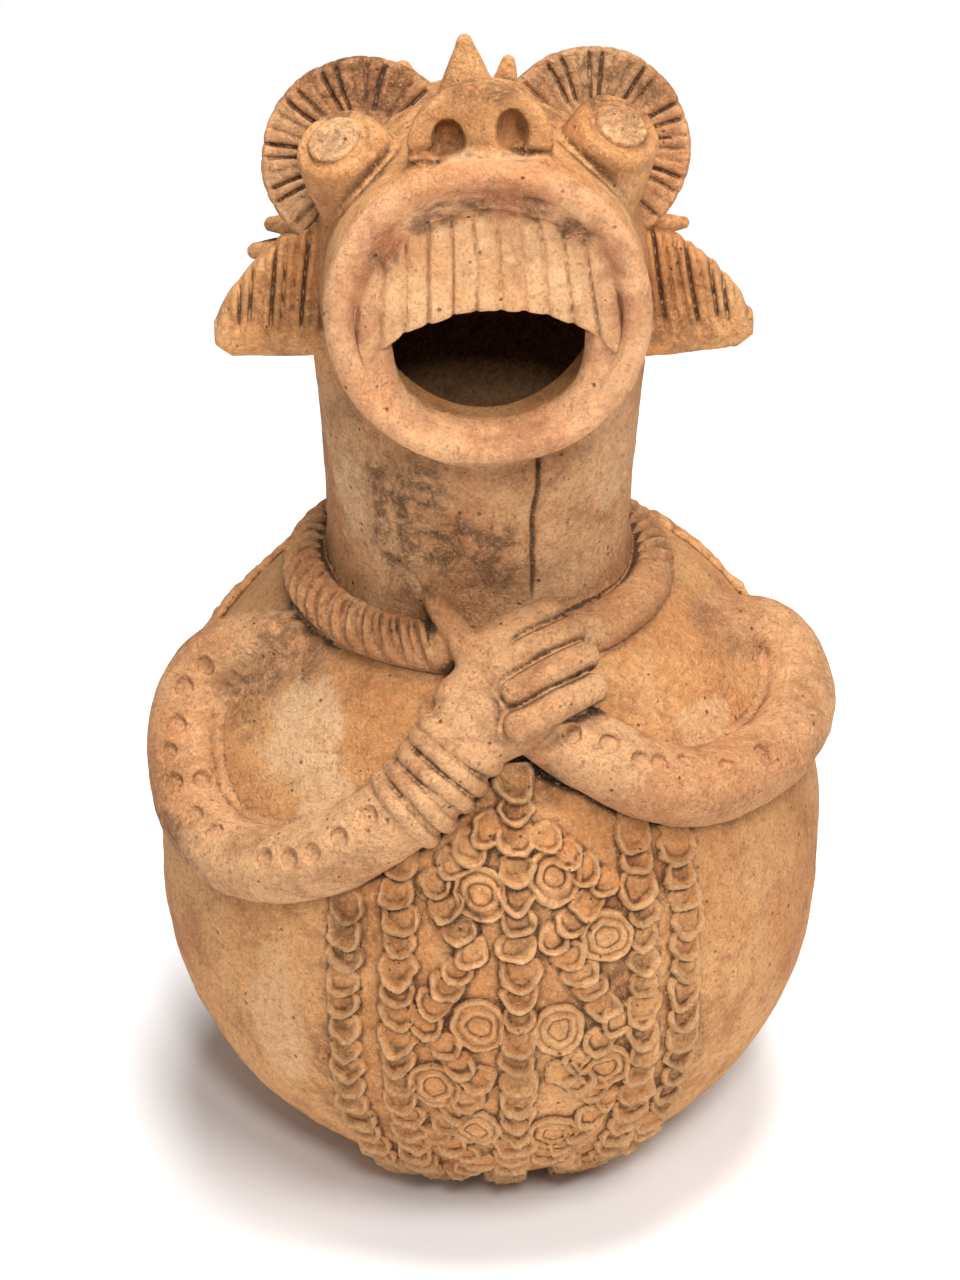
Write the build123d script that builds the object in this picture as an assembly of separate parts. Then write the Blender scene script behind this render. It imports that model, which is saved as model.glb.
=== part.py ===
from build123d import *
import os
from math import acos, cos, degrees, radians, sin, sqrt, tan

# A hand-built clay vessel in the shape of a squat creature. A ball body carries a neck, which bends forward
# into a hollow head with a round gaping mouth. Arms, collar, fans, ears and belly pellets are luted on.
# Millimetres, +Z up. The origin is the centre of the flat resting face, the creature looks along -Y, and
# left and right are those of someone who faces it. Azimuths start at the front and grow to the right.
# Latitudes run up the body's outline, in degrees of its radius, from the middle of its widest belt.

# Body: a ball stretched by an upright belt at its widest level
BODY_R = 90.0
BELT_H = 13.0
BASE_R = 36.0
WALL = 8.0
SHOULDER_EXTRA_WALL = 4.0

# Neck, a little off the body's axis as the potter left it
NECK_X = -3.0
NECK_FOOT_R = 42.0
NECK_WAIST_R = 40.0
NECK_TOP_R = 44.0
NECK_WAIST_UP = 14.0
NECK_H = 62.0
NECK_BORE_R = 33.0
NECK_SEAT_MARGIN = 1.0

# Head elbow and muzzle
HEAD_LEG_H = 35.0
MUZZLE_R = 41.0
MUZZLE_LEN = 48.0
MUZZLE_PITCH = 4.0
HEAD_YAW = 2.5
HEAD_ROLL = 2.0

# Mouth: a rolled ring, a gum plate that closes its upper part, and a row of teeth on the gum
LIP_R = 41.5
LIP_BORE_R = 27.0
LIP_DEPTH = 11.0
LIP_ROLL = 6.0
LIP_BEVEL = 6.0
GUM_T = 5.0
ARCH_RISE = 1.5
ARCH_DROP = 8.5
TEETH = 11
TOOTH_PITCH = 5.9
TOOTH_GAP = 0.8
TOOTH_T = 4.0
TEETH_TOP_R = 32.0

# Snout
SNOUT_R = 18.5
SNOUT_BACK_R = 13.0
SNOUT_UP = 41.0
SNOUT_LEN = 30.0
SNOUT_EDGE = 3.0
NOSTRIL_SPACING = 16.0
NOSTRIL_UP = 5.0
NOSTRIL_W = 7.5
NOSTRIL_H = 10.5
NOSTRIL_DEPTH = 7.0

# Eyes: where the right one ends, in head radii from the head's centre, and where it points
EYE_END = (0.82, -0.57, 0.91)
EYE_AXIS = (0.37, -0.36, 0.86)
EYE_R = 12.0
EYE_LEN = 28.0
EYE_EDGE = 4.0
EYE_DISC_R = 7.2
EYE_DISC_T = 2.2

# Ribbed fans behind the eyes: where the right one is, in head radii from the head's centre, where it faces,
# and its radius in head radii
FAN_CENTRE = (0.67, -0.14, 0.59)
FAN_AXIS = (0.15, -0.88, 0.45)
FAN_SPREAD = 0.59
FAN_T = 8.0
FAN_GROOVES = 38
FAN_GROOVE_W = 1.2
FAN_GROOVE_DEPTH = 1.4
FAN_HUB_R = 11.0

# Leaf ears: the right one's outline seen from the front, out from the head's side and up from its centre
EAR_ROOT_TOP = (-16.0, 10.0)
EAR_TOP_MID = (14.5, -2.0)
EAR_TIP = (26.0, -20.0)
EAR_TIP_ROUND = (25.5, -25.5)
EAR_TIP_LOW = (20.5, -28.0)
EAR_ROOT_LOW = (-16.0, -29.0)
EAR_T = 8.0
EAR_FORWARD = 13.0

# Spikes: the point each one aims at from the head's centre, how far it stands out, and its root radius
SPIKE_TIP_R = 1.2
SPIKE_ROOT_DEPTH = 5.0
CREST_CENTRE = ((-2.0, -1.0, 55.0), 12.0, 8.0)
CREST_LEFT = ((-18.0, 18.0, 41.0), 6.0, 5.0)
CREST_RIGHT = ((10.0, 18.0, 41.0), 5.0, 5.0)
MANE_LEFT_UPPER = ((-56.0, 19.0, -3.0), 15.0, 6.0)
MANE_LEFT_LOWER = ((-61.0, 19.0, -16.0), 20.0, 5.5)
MANE_RIGHT = ((56.0, 19.0, -9.0), 16.0, 6.0)

# Notched collar round the neck's foot, open at the chest
COLLAR_MAJOR_R = 46.0
COLLAR_MINOR_R = 6.0
COLLAR_FORWARD = 4.0
COLLAR_UP = 1.0
COLLAR_LEFT_END = -9.0
COLLAR_RIGHT_END = 27.0

# Arms: round coils that lie on the body along points of azimuth and latitude
ARM_R = 10.5
ARM_LIFT = 5.0
ARM_ROOT_LIFT = -6.0
ARM_BEND = 0.48
LEFT_ARM_ROOT = (-56, 60.5)
LEFT_ARM_LINE = [(-65, 55.5), (-74, 49), (-78, 39), (-71, 29), (-60.5, 21.5), (-49.5, 18.5), (-39, 19.8),
                 (-29, 24.5), (-20.5, 30.5), (-13, 37), (-8, 43)]
LEFT_WRIST = (-4, 48)
LEFT_WRIST_LIFT = 7.0
RIGHT_ARM_ROOT = (63, 59)
RIGHT_ARM_LINE = [(75, 55.5), (89, 51.5), (96, 43), (90.5, 34.5), (77, 31), (63, 30.5), (50, 31.2),
                  (38.5, 33.2), (29, 37.5), (21.5, 42.5)]
RIGHT_WRIST = (12, 48)
RIGHT_WRIST_LIFT = -2.0

# Ridged cuff on the left forearm
BRACELETS = 5
BRACELET_R = 2.4
BRACELET_PITCH = 5.4
BRACELET_START = 4.0

# Left hand on the chest: each finger runs between two places at its own lift above the skin
PALM_PLACE = (0.8, 51.0)
PALM_LIFT = 6.0
PALM_LEN = 25.0
PALM_W = 28.0
PALM_T = 13.0
PALM_EDGE = 5.0
FINGER_R = 3.9
INDEX_FINGER = ((-0.7, 60.7), (19.0, 65.7), 11.0)
MIDDLE_FINGER = ((1.7, 56.0), (22.3, 61.6), 12.0)
RING_FINGER = ((6.6, 52.3), (23.0, 56.8), 14.0)
LITTLE_FINGER = ((5.9, 46.6), (22.4, 51.4), 15.0)
THUMB = ((-5.2, 58.8), (-19.7, 67.6), 8.0)
THUMB_ROOT_R = 4.5
THUMB_TIP_R = 2.4

# Pellets pressed on like overlapping scales: five columns down the belly and a zigzag in each panel
PELLET_W = 9.4
PELLET_H = 2.6
PELLET_PITCH = 7.2
PELLET_LEAST = 0.25
PANEL_AZIMUTH = 5.0
INNER_LEFT_TURN = -20.5
FAR_LEFT_TURN = -30.0
INNER_RIGHT_TURN = 21.5
FAR_RIGHT_TURN = 30.5
CENTRE_TOP = 39.0
INNER_LEFT_TOP = 24.0
FAR_LEFT_TOP = 15.0
INNER_RIGHT_TOP = 28.0
FAR_RIGHT_TOP = 24.0
COLUMN_BOTTOM = -60.0
ZIGZAG_INSET = 6.0
ZIGZAG_TOP = 32.0
ZIGZAG_STEP = 12.0
ZIGZAG_RUNS = 6

# Roundels with a rim and a boss, one in a bay of the zigzag beside each turn that has one
ROUNDEL_R = 6.4
ROUNDEL_H = 2.2
ROUNDEL_RIM = 1.6
ROUNDEL_BOSS_R = 3.0
ROUNDEL_DISH = 0.9
LEFT_ROUNDEL_TURNS = [1, 3, 4, 5]
RIGHT_ROUNDEL_TURNS = [1, 2, 3, 4, 5]

# Rows of pellets over the shoulders, from the collar's edge down
GARLAND_TOP_AZIMUTH = 136.0
GARLAND_BOTTOM = (109.0, 34.0)

# Worked out from the sizes above
BODY_CZ = sqrt(BODY_R**2 - BASE_R**2)
NECK_SEAT_R = NECK_FOOT_R + abs(NECK_X) + NECK_SEAT_MARGIN
NECK_SEAT_Z = BODY_CZ + BELT_H + sqrt(BODY_R**2 - NECK_SEAT_R**2)
NECK_TOP_Z = NECK_SEAT_Z + NECK_H
HEAD_CZ = NECK_TOP_Z + HEAD_LEG_H
HEAD_BORE_R = NECK_TOP_R - WALL
MUZZLE_BORE_R = MUZZLE_R - WALL
FAN_R = FAN_SPREAD * NECK_TOP_R
HALF_BELT = degrees(BELT_H / 2 / BODY_R)
GARLAND_TOP = (GARLAND_TOP_AZIMUTH, HALF_BELT + degrees(acos((COLLAR_MAJOR_R + COLLAR_MINOR_R) / BODY_R)))
PELLET_BALL_R = (PELLET_W**2 / 4 + PELLET_H**2) / (2 * PELLET_H)
NECK_FRAME = Pos(NECK_X, 0, 0)
HEAD_FRAME = Pos(NECK_X, 0, HEAD_CZ) * Rot(0, 0, HEAD_YAW) * Rot(0, -HEAD_ROLL, 0)
# In the mouth's frame X is right, Y is up and Z is forward along the muzzle
MOUTH_FRAME = HEAD_FRAME * Rot(-MUZZLE_PITCH, 0, 0) * Rot(90, 0, 0)
LIP_FRAME = MOUTH_FRAME * Pos(0, 0, MUZZLE_LEN)
FROM_BOTTOM = (Align.CENTER, Align.CENTER, Align.MIN)


def save(node, *solids):
    export_step(Compound(children=list(solids)), f"parts/{node}.step")


def largest(shape):
    return max(shape.solids(), key=lambda solid: solid.volume)


def seat(piece, *carriers):
    """The piece with whatever it is luted onto cut out of it."""
    for carrier in carriers:
        piece = largest(piece - carrier)
    return piece


def turned(*edges):
    """A solid of revolution about Z from edges drawn as radius and height."""
    return largest(revolve(Plane.XZ * make_face(edges), Axis.Z))


def skin_point(azimuth, latitude, lift=0.0):
    """A point this far above the body's skin."""
    on_belt = max(-HALF_BELT, min(HALF_BELT, latitude))
    centre_z = BODY_CZ + BELT_H / 2 + BODY_R * radians(on_belt)
    tilt = radians(latitude - on_belt)
    radius = (BODY_R + lift) * cos(tilt)
    across, forward = radius * sin(radians(azimuth)), radius * cos(radians(azimuth))
    return Vector(across, -forward, centre_z + (BODY_R + lift) * sin(tilt))


def skin_normal(azimuth, latitude):
    return (skin_point(azimuth, latitude, 1.0) - skin_point(azimuth, latitude)).normalized()


def tapered_rod(start, end, start_r, end_r):
    """A round rod with domed ends, centred at the two points."""
    length = (end - start).length
    rod = turned(
        Line((0, -start_r), (0, length + end_r)),
        RadiusArc((0, -start_r), (start_r, 0), -start_r),
        Line((start_r, 0), (end_r, length)),
        RadiusArc((end_r, length), (0, length + end_r), -end_r),
    )
    return Plane(start, z_dir=end - start) * rod


def body_form(radius, belt_h, floor_z, top_r):
    """The stretched ball of this radius, cut flat at its foot and where the neck meets it, seam at the back."""
    floor_r = sqrt(radius**2 - (BODY_CZ - floor_z) ** 2)
    belt_top = BODY_CZ + belt_h
    top_z = belt_top + sqrt(radius**2 - top_r**2)
    return Rot(0, 0, 90) * turned(
        Line((0, floor_z), (floor_r, floor_z)),
        RadiusArc((floor_r, floor_z), (radius, BODY_CZ), -radius),
        Line((radius, BODY_CZ), (radius, belt_top)),
        RadiusArc((radius, belt_top), (top_r, top_z), -radius),
        Line((top_r, top_z), (0, top_z)),
        Line((0, top_z), (0, floor_z)),
    )


def dome_form(radius, foot_z):
    """An upright leg that closes in a half ball at the head's centre."""
    return NECK_FRAME * turned(
        Line((0, foot_z), (radius, foot_z)),
        Line((radius, foot_z), (radius, HEAD_CZ)),
        RadiusArc((radius, HEAD_CZ), (0, HEAD_CZ + radius), -radius),
        Line((0, HEAD_CZ + radius), (0, foot_z)),
    )


def arm_path(places):
    """A line through the places in straight runs joined by the widest tangent arcs that fit."""
    points = [skin_point(*place) for place in places]
    radii = []
    for before, corner, after in zip(points, points[1:], points[2:]):
        turn = radians((corner - before).get_angle(after - corner))
        radii.append(ARM_BEND * min((corner - before).length, (after - corner).length) / tan(turn / 2))
    return FilletPolyline(*points, radius=radii)


def arm_tube(path):
    return largest(sweep(Plane(path @ 0, z_dir=path % 0) * Circle(ARM_R), path))


def along(start, end, pitch):
    """Places from start to end, as near to this pitch in millimetres as a whole number of steps gives."""
    length = (skin_point(*end) - skin_point(*start)).length
    steps = max(1, round(length / pitch))
    return [tuple(a + (b - a) * i / steps for a, b in zip(start, end)) for i in range(steps + 1)]


def pellet_ball(place):
    centre = skin_point(*place, PELLET_H - PELLET_BALL_R)
    return Plane(centre, z_dir=skin_normal(*place)) * Sphere(PELLET_BALL_R)


def boxed(forms):
    return [(form, form.bounding_box()) for form in forms]


def seat_among(piece, earlier):
    """The piece cut by those of the earlier boxed forms that its box reaches, or nothing if they cover it."""
    box = piece.bounding_box()
    for form, form_box in earlier:
        if piece and box.overlaps(form_box):
            left = piece - form
            piece = largest(left) if left else None
    return piece


def pellet_row(places, earlier):
    """Pellets on the body, each tucked under the one before it and under earlier forms that it meets."""
    row = []
    above = []
    for ball in (pellet_ball(place) for place in places):
        whole = seat(ball, body_form_outer)
        pellet = seat_among(whole, above + earlier)
        above = boxed([ball])
        if pellet and pellet.volume > PELLET_LEAST * whole.volume:
            row.append(pellet)
    return row


def column(azimuth, top, earlier):
    turn = degrees(PELLET_PITCH / BODY_R)
    count = int((top - COLUMN_BOTTOM) / turn) + 1
    return pellet_row([(azimuth, top - turn * i) for i in range(count)], earlier)


def zigzag_corners(inner_side, outer_side):
    sides = [inner_side, outer_side]
    return [(sides[i % 2], ZIGZAG_TOP - ZIGZAG_STEP * i) for i in range(ZIGZAG_RUNS + 1)]


def zigzag_places(corners):
    places = [corners[0]]
    for start, end in zip(corners, corners[1:]):
        places += along(start, end, PELLET_PITCH)[1:]
    return places


def roundel(azimuth, latitude, earlier):
    disc = turned(
        Line((0, -ROUNDEL_R), (ROUNDEL_R, -ROUNDEL_R)),
        Line((ROUNDEL_R, -ROUNDEL_R), (ROUNDEL_R, ROUNDEL_H)),
        Line((ROUNDEL_R, ROUNDEL_H), (ROUNDEL_R - ROUNDEL_RIM, ROUNDEL_H)),
        Line((ROUNDEL_R - ROUNDEL_RIM, ROUNDEL_H), (ROUNDEL_BOSS_R, ROUNDEL_H - ROUNDEL_DISH)),
        Line((ROUNDEL_BOSS_R, ROUNDEL_H - ROUNDEL_DISH), (0, ROUNDEL_H)),
        Line((0, ROUNDEL_H), (0, -ROUNDEL_R)),
    )
    disc = seat(Plane(skin_point(azimuth, latitude), z_dir=skin_normal(azimuth, latitude)) * disc, body_form_outer)
    return seat_among(disc, earlier)


def roundels(corners, turns, earlier):
    """One roundel level with each of these turns, on the side that the zigzag leaves free there."""
    return [roundel(corners[turn - 1][0], corners[turn][1], earlier) for turn in turns]


def spike(aim, reach, root_r):
    direction = Vector(*aim).normalized()
    root = direction * (NECK_TOP_R - SPIKE_ROOT_DEPTH)
    tip = direction * (NECK_TOP_R + reach - SPIKE_TIP_R)
    return HEAD_FRAME * tapered_rod(root, tip, root_r, SPIKE_TIP_R)


def mirrored(point, side):
    return (side * point[0], *point[1:])


def eye(side):
    """The boss and the disc on its end."""
    axis = Vector(*mirrored(EYE_AXIS, side)).normalized()
    end = Vector(*mirrored(EYE_END, side)) * NECK_TOP_R
    boss = Cylinder(EYE_R, EYE_LEN, align=FROM_BOTTOM)
    boss = fillet(boss.edges().group_by(Axis.Z)[-1], EYE_EDGE)
    disc = Cylinder(EYE_DISC_R, EYE_DISC_T, align=FROM_BOTTOM)
    boss = seat(HEAD_FRAME * (Plane(end - axis * EYE_LEN, z_dir=axis) * boss), head_form_outer, snout)
    return boss, seat(HEAD_FRAME * (Plane(end, z_dir=axis) * disc), boss)


def fan(side):
    """A round plate with grooves that run from its hub over its rim."""
    plate = Cylinder(FAN_R, FAN_T)
    face_cut = Box(FAN_R, FAN_GROOVE_W, 2 * FAN_GROOVE_DEPTH, align=(Align.MIN, Align.CENTER, Align.CENTER))
    rim_cut = Box(2 * FAN_GROOVE_DEPTH, FAN_GROOVE_W, FAN_T)
    groove = Pos(FAN_HUB_R, 0, FAN_T / 2) * face_cut + Pos(FAN_R, 0, 0) * rim_cut
    plate -= [Rot(0, 0, 360 * i / FAN_GROOVES) * groove for i in range(FAN_GROOVES)]
    facing = Plane(Vector(*mirrored(FAN_CENTRE, side)) * NECK_TOP_R, z_dir=mirrored(FAN_AXIS, side))
    return HEAD_FRAME * (facing * largest(plate))


def leaf_ear(side):
    corners = [(side * (NECK_TOP_R + out), up) for out, up in
               (EAR_ROOT_TOP, EAR_TOP_MID, EAR_TIP, EAR_TIP_ROUND, EAR_TIP_LOW, EAR_ROOT_LOW)]
    root_top, top_mid, tip, tip_round, tip_low, root_low = corners
    outline = make_face([
        ThreePointArc(root_top, top_mid, tip),
        ThreePointArc(tip, tip_round, tip_low),
        Line(tip_low, root_low),
        Line(root_low, root_top),
    ])
    leaf = extrude(Plane.XZ * outline, EAR_T)
    return HEAD_FRAME * Pos(0, EAR_T / 2 - EAR_FORWARD, 0) * largest(leaf)


os.makedirs("parts", exist_ok=True)

# Body: a hollow ball thrown in two halves that meet at the widest level
body_form_outer = body_form(BODY_R, BELT_H, 0, NECK_SEAT_R)
cavity = body_form(BODY_R - WALL, BELT_H - SHOULDER_EXTRA_WALL, WALL, NECK_BORE_R / 2)
neck_hole = NECK_FRAME * Pos(0, 0, BODY_CZ) * Cylinder(NECK_BORE_R, NECK_SEAT_Z, align=FROM_BOTTOM)
body_shell = body_form_outer - cavity - neck_hole
widest = Plane.XY.offset(BODY_CZ)
save("body_bowl", largest(split(body_shell, widest, Keep.BOTTOM)))
save("body_shoulder", largest(split(body_shell, widest, Keep.TOP)))

# Neck
neck_rim = [
    Line((0, NECK_SEAT_Z), (NECK_FOOT_R, NECK_SEAT_Z)),
    Spline((NECK_FOOT_R, NECK_SEAT_Z), (NECK_WAIST_R, NECK_SEAT_Z + NECK_WAIST_UP), (NECK_TOP_R, NECK_TOP_Z)),
    Line((NECK_TOP_R, NECK_TOP_Z), (0, NECK_TOP_Z)),
    Line((0, NECK_TOP_Z), (0, NECK_SEAT_Z)),
]
neck_form = NECK_FRAME * turned(*neck_rim)
neck_bore = NECK_FRAME * turned(
    Line((0, NECK_SEAT_Z), (NECK_BORE_R, NECK_SEAT_Z)),
    Line((NECK_BORE_R, NECK_SEAT_Z), (HEAD_BORE_R, NECK_TOP_Z)),
    Line((HEAD_BORE_R, NECK_TOP_Z), (0, NECK_TOP_Z)),
    Line((0, NECK_TOP_Z), (0, NECK_SEAT_Z)),
)
save("neck_tube", largest(neck_form - neck_bore))

# Head: the neck's leg, a half ball and the muzzle that leaves it forward
muzzle = MOUTH_FRAME * Cylinder(MUZZLE_R, MUZZLE_LEN, align=FROM_BOTTOM)
muzzle_bore = MOUTH_FRAME * Cylinder(MUZZLE_BORE_R, MUZZLE_LEN, align=FROM_BOTTOM)
head_form_outer = seat(dome_form(NECK_TOP_R, NECK_TOP_Z) + muzzle, neck_form)
head_cavity = dome_form(HEAD_BORE_R, NECK_TOP_Z)
save("head_shell", largest(head_form_outer - head_cavity - muzzle_bore))

# Mouth
lip = LIP_FRAME * turned(
    Line((LIP_BORE_R, 0), (LIP_R, 0)),
    Line((LIP_R, 0), (LIP_R, LIP_DEPTH - LIP_ROLL)),
    RadiusArc((LIP_R, LIP_DEPTH - LIP_ROLL), (LIP_R - LIP_ROLL, LIP_DEPTH), -LIP_ROLL),
    Line((LIP_R - LIP_ROLL, LIP_DEPTH), (LIP_BORE_R, LIP_DEPTH - LIP_BEVEL)),
    Line((LIP_BORE_R, LIP_DEPTH - LIP_BEVEL), (LIP_BORE_R, 0)),
)
arch_h = ARCH_RISE + ARCH_DROP
arch_r = (LIP_BORE_R**2 + arch_h**2) / (2 * arch_h)
below_arch = Pos(0, ARCH_RISE - arch_r) * Circle(arch_r)
gum = LIP_FRAME * largest(extrude(Circle(LIP_BORE_R) - below_arch, GUM_T))
tooth_field = Circle(TEETH_TOP_R) - below_arch
teeth = []
for i in range(TEETH):
    strip = Rectangle(TOOTH_PITCH - TOOTH_GAP, 2 * TEETH_TOP_R)
    outline = Pos((i - (TEETH - 1) / 2) * TOOTH_PITCH, 0) * strip & tooth_field
    tooth = LIP_FRAME * Pos(0, 0, GUM_T) * largest(extrude(outline, TOOTH_T))
    teeth.append(seat(tooth, lip))
save("mouth_lip", lip)
save("upper_gum", gum)
save("upper_teeth", *teeth)

# Snout with two nostril hollows
snout = Cone(SNOUT_BACK_R, SNOUT_R, SNOUT_LEN, align=FROM_BOTTOM)
snout = fillet(snout.edges().group_by(Axis.Z)[-1], SNOUT_EDGE)
for side in (-1, 1):
    nostril = extrude(Ellipse(NOSTRIL_W / 2, NOSTRIL_H / 2), NOSTRIL_DEPTH)
    snout -= Pos(side * NOSTRIL_SPACING / 2, NOSTRIL_UP, SNOUT_LEN - NOSTRIL_DEPTH) * nostril
snout = seat(MOUTH_FRAME * Pos(0, SNOUT_UP, MUZZLE_LEN - SNOUT_LEN) * snout, head_form_outer)
save("snout", snout)

# Eyes, fans, ears and spikes on the head
head_pieces = [head_form_outer, snout]
crest = seat(spike(*CREST_CENTRE), *head_pieces)
save("crest_spike_centre", crest)
for name, side in (("left", -1), ("right", 1)):
    boss, disc = eye(side)
    save(f"{name}_eye_boss", boss)
    save(f"{name}_eye_disc", disc)
    plate = seat(fan(side), *head_pieces, boss, disc, crest)
    save(f"{name}_fan", plate)
    ear = seat(leaf_ear(side), head_form_outer, neck_form, boss, plate)
    save(f"{name}_leaf_ear", ear)
    small_crest = CREST_LEFT if side < 0 else CREST_RIGHT
    save(f"crest_spike_{name}", seat(spike(*small_crest), head_form_outer, plate, crest))
    mane = [MANE_LEFT_UPPER, MANE_LEFT_LOWER] if side < 0 else [MANE_RIGHT]
    tufts = []
    for tuft in mane:
        tufts.append(seat(spike(*tuft), head_form_outer, neck_form, plate, ear, *tufts))
    save(f"mane_spikes_{name}", *tufts)

# Collar
collar_turn = 360 - COLLAR_RIGHT_END + COLLAR_LEFT_END
collar_place = Pos(NECK_X, -COLLAR_FORWARD, NECK_SEAT_Z + COLLAR_UP) * Rot(0, 0, COLLAR_RIGHT_END - 90)
collar = collar_place * revolve(Plane.XZ * Pos(COLLAR_MAJOR_R, 0) * Circle(COLLAR_MINOR_R), Axis.Z, collar_turn)
save("necklace_coil", seat(collar, body_form_outer, neck_form))

# Arms: the left one's wrist lies on the right one
right_places = [(*RIGHT_ARM_ROOT, ARM_ROOT_LIFT), *((*place, ARM_LIFT) for place in RIGHT_ARM_LINE),
                (*RIGHT_WRIST, RIGHT_WRIST_LIFT)]
left_places = [(*LEFT_ARM_ROOT, ARM_ROOT_LIFT), *((*place, ARM_LIFT) for place in LEFT_ARM_LINE),
               (*LEFT_WRIST, LEFT_WRIST_LIFT)]
left_path = arm_path(left_places)
right_tube = arm_tube(arm_path(right_places))
left_tube = arm_tube(left_path)
save("right_arm", seat(right_tube, body_form_outer, collar))
save("left_arm", seat(left_tube, body_form_outer, collar, right_tube))

# Bracelets, counted back from the wrist
rings = []
bracelets = []
for i in range(BRACELETS):
    station = 1 - (BRACELET_START + BRACELET_PITCH * i) / left_path.length
    ring = Plane(left_path @ station, z_dir=left_path % station) * Torus(ARM_R, BRACELET_R)
    bracelets.append(seat(ring, left_tube, body_form_outer, right_tube, *rings))
    rings.append(ring)
save("wrist_bracelets", *bracelets)

# Hand
finger_line = skin_point(*RING_FINGER[1], RING_FINGER[2]) - skin_point(*RING_FINGER[0], RING_FINGER[2])
palm_plane = Plane(skin_point(*PALM_PLACE, PALM_LIFT), x_dir=finger_line, z_dir=skin_normal(*PALM_PLACE))
palm = Box(PALM_LEN, PALM_W, PALM_T)
palm = palm_plane * fillet(palm.edges(), PALM_EDGE)
hand_carriers = [body_form_outer, neck_form, collar, right_tube, left_tube, *rings]
save("hand_palm", seat(palm, *hand_carriers))
finger_rods = []
fingers = []
for root, tip, lift in (INDEX_FINGER, MIDDLE_FINGER, RING_FINGER, LITTLE_FINGER):
    finger = tapered_rod(skin_point(*root, lift), skin_point(*tip, lift), FINGER_R, FINGER_R)
    fingers.append(seat(finger, *hand_carriers, palm, *finger_rods))
    finger_rods.append(finger)
thumb_root, thumb_tip, thumb_lift = THUMB
thumb = tapered_rod(skin_point(*thumb_root, thumb_lift), skin_point(*thumb_tip, thumb_lift),
                    THUMB_ROOT_R, THUMB_TIP_R)
save("hand_fingers", *fingers)
save("hand_thumb", seat(thumb, *hand_carriers, palm, *finger_rods))

# Belly panel
limbs = boxed([left_tube, right_tube, palm, *rings])
columns = {
    "centre": (0, CENTRE_TOP),
    "inner_left": (INNER_LEFT_TURN, INNER_LEFT_TOP),
    "far_left": (FAR_LEFT_TURN, FAR_LEFT_TOP),
    "inner_right": (INNER_RIGHT_TURN, INNER_RIGHT_TOP),
    "far_right": (FAR_RIGHT_TURN, FAR_RIGHT_TOP),
}
pellets = []
for name, (turn, top) in columns.items():
    made = column(PANEL_AZIMUTH + turn, top, limbs + pellets)
    save(f"pellet_column_{name}", *made)
    pellets += boxed(made)
for name, turn, side, turns in (("left", INNER_LEFT_TURN, -1, LEFT_ROUNDEL_TURNS),
                                ("right", INNER_RIGHT_TURN, 1, RIGHT_ROUNDEL_TURNS)):
    inner_side = PANEL_AZIMUTH + side * ZIGZAG_INSET
    outer_side = PANEL_AZIMUTH + turn - side * ZIGZAG_INSET
    corners = zigzag_corners(inner_side, outer_side)
    made = pellet_row(zigzag_places(corners), limbs + pellets)
    save(f"zigzag_{name}", *made)
    pellets += boxed(made)
    discs = roundels(corners, turns, pellets)
    save(f"roundels_{name}", *discs)

# Shoulder rows
for name, side in (("left", -1), ("right", 1)):
    places = along(mirrored(GARLAND_TOP, side), mirrored(GARLAND_BOTTOM, side), PELLET_PITCH)
    save(f"shoulder_garland_{name}", *pellet_row(places, limbs + boxed([collar])))
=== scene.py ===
from math import acos, asin, atan2, cos, degrees, pi, radians, sin, sqrt

import bpy
from mathutils import Matrix
import numpy as np
from numpy import arange, array, clip, float32, full, hypot, interp, linspace, maximum, minimum, stack, zeros


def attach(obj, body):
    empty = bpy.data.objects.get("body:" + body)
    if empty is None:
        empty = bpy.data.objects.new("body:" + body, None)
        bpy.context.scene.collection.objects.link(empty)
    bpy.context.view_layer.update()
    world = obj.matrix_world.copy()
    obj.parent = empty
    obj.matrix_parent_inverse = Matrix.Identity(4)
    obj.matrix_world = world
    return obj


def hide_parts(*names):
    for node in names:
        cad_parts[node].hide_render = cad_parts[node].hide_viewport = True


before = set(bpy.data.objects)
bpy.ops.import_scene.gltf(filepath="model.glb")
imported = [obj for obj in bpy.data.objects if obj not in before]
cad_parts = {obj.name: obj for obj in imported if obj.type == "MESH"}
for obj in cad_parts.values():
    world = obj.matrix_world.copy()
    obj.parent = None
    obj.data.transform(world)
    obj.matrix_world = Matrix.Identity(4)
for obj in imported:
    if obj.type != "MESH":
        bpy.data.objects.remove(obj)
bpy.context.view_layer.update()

# A hand-built terracotta vessel. Lengths below are millimetres in the part's frame, angles are degrees.
# Every clay form is a distance field: negative inside, positive outside. Pieces that the potter luted on
# are moulded together with what carries them, so the clay runs over the joints as it does on the pot.

BODY_R, BASE_R, BELT_H = 90.0, 36.0, 13.0
BODY_CZ = sqrt(BODY_R**2 - BASE_R**2)
HALF_BELT = degrees(BELT_H / 2 / BODY_R)
NECK_X, NECK_SEAT_R, NECK_H = -3.0, 46.0, 62.0
NECK_SEAT_Z = BODY_CZ + BELT_H + sqrt(BODY_R**2 - NECK_SEAT_R**2)
NECK_TOP_Z = NECK_SEAT_Z + NECK_H
HEAD_R, HEAD_LEG_H, DOME_H = 44.0, 35.0, 37.5
HEAD_C = array([NECK_X, 0.0, NECK_TOP_Z + HEAD_LEG_H])
HEAD_YAW, HEAD_ROLL, MUZZLE_TILT = 2.5, -2.0, 86.0
SIDES = (("left", -1), ("right", 1))

# Mesh sizes, coarser in quick tries
COARSE = 1.0
BODY_STEP, BELLY_STEP = 0.62, 0.42
LIMB_STEP, HEAD_STEP, GUM_STEP, PLATE_STEP, TOOTH_STEP, DISC_STEP = 0.62, 0.85, 0.8, 0.5, 0.45, 0.4


def turn_matrix(axis, angle):
    return array(Matrix.Rotation(radians(angle), 3, axis))


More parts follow.
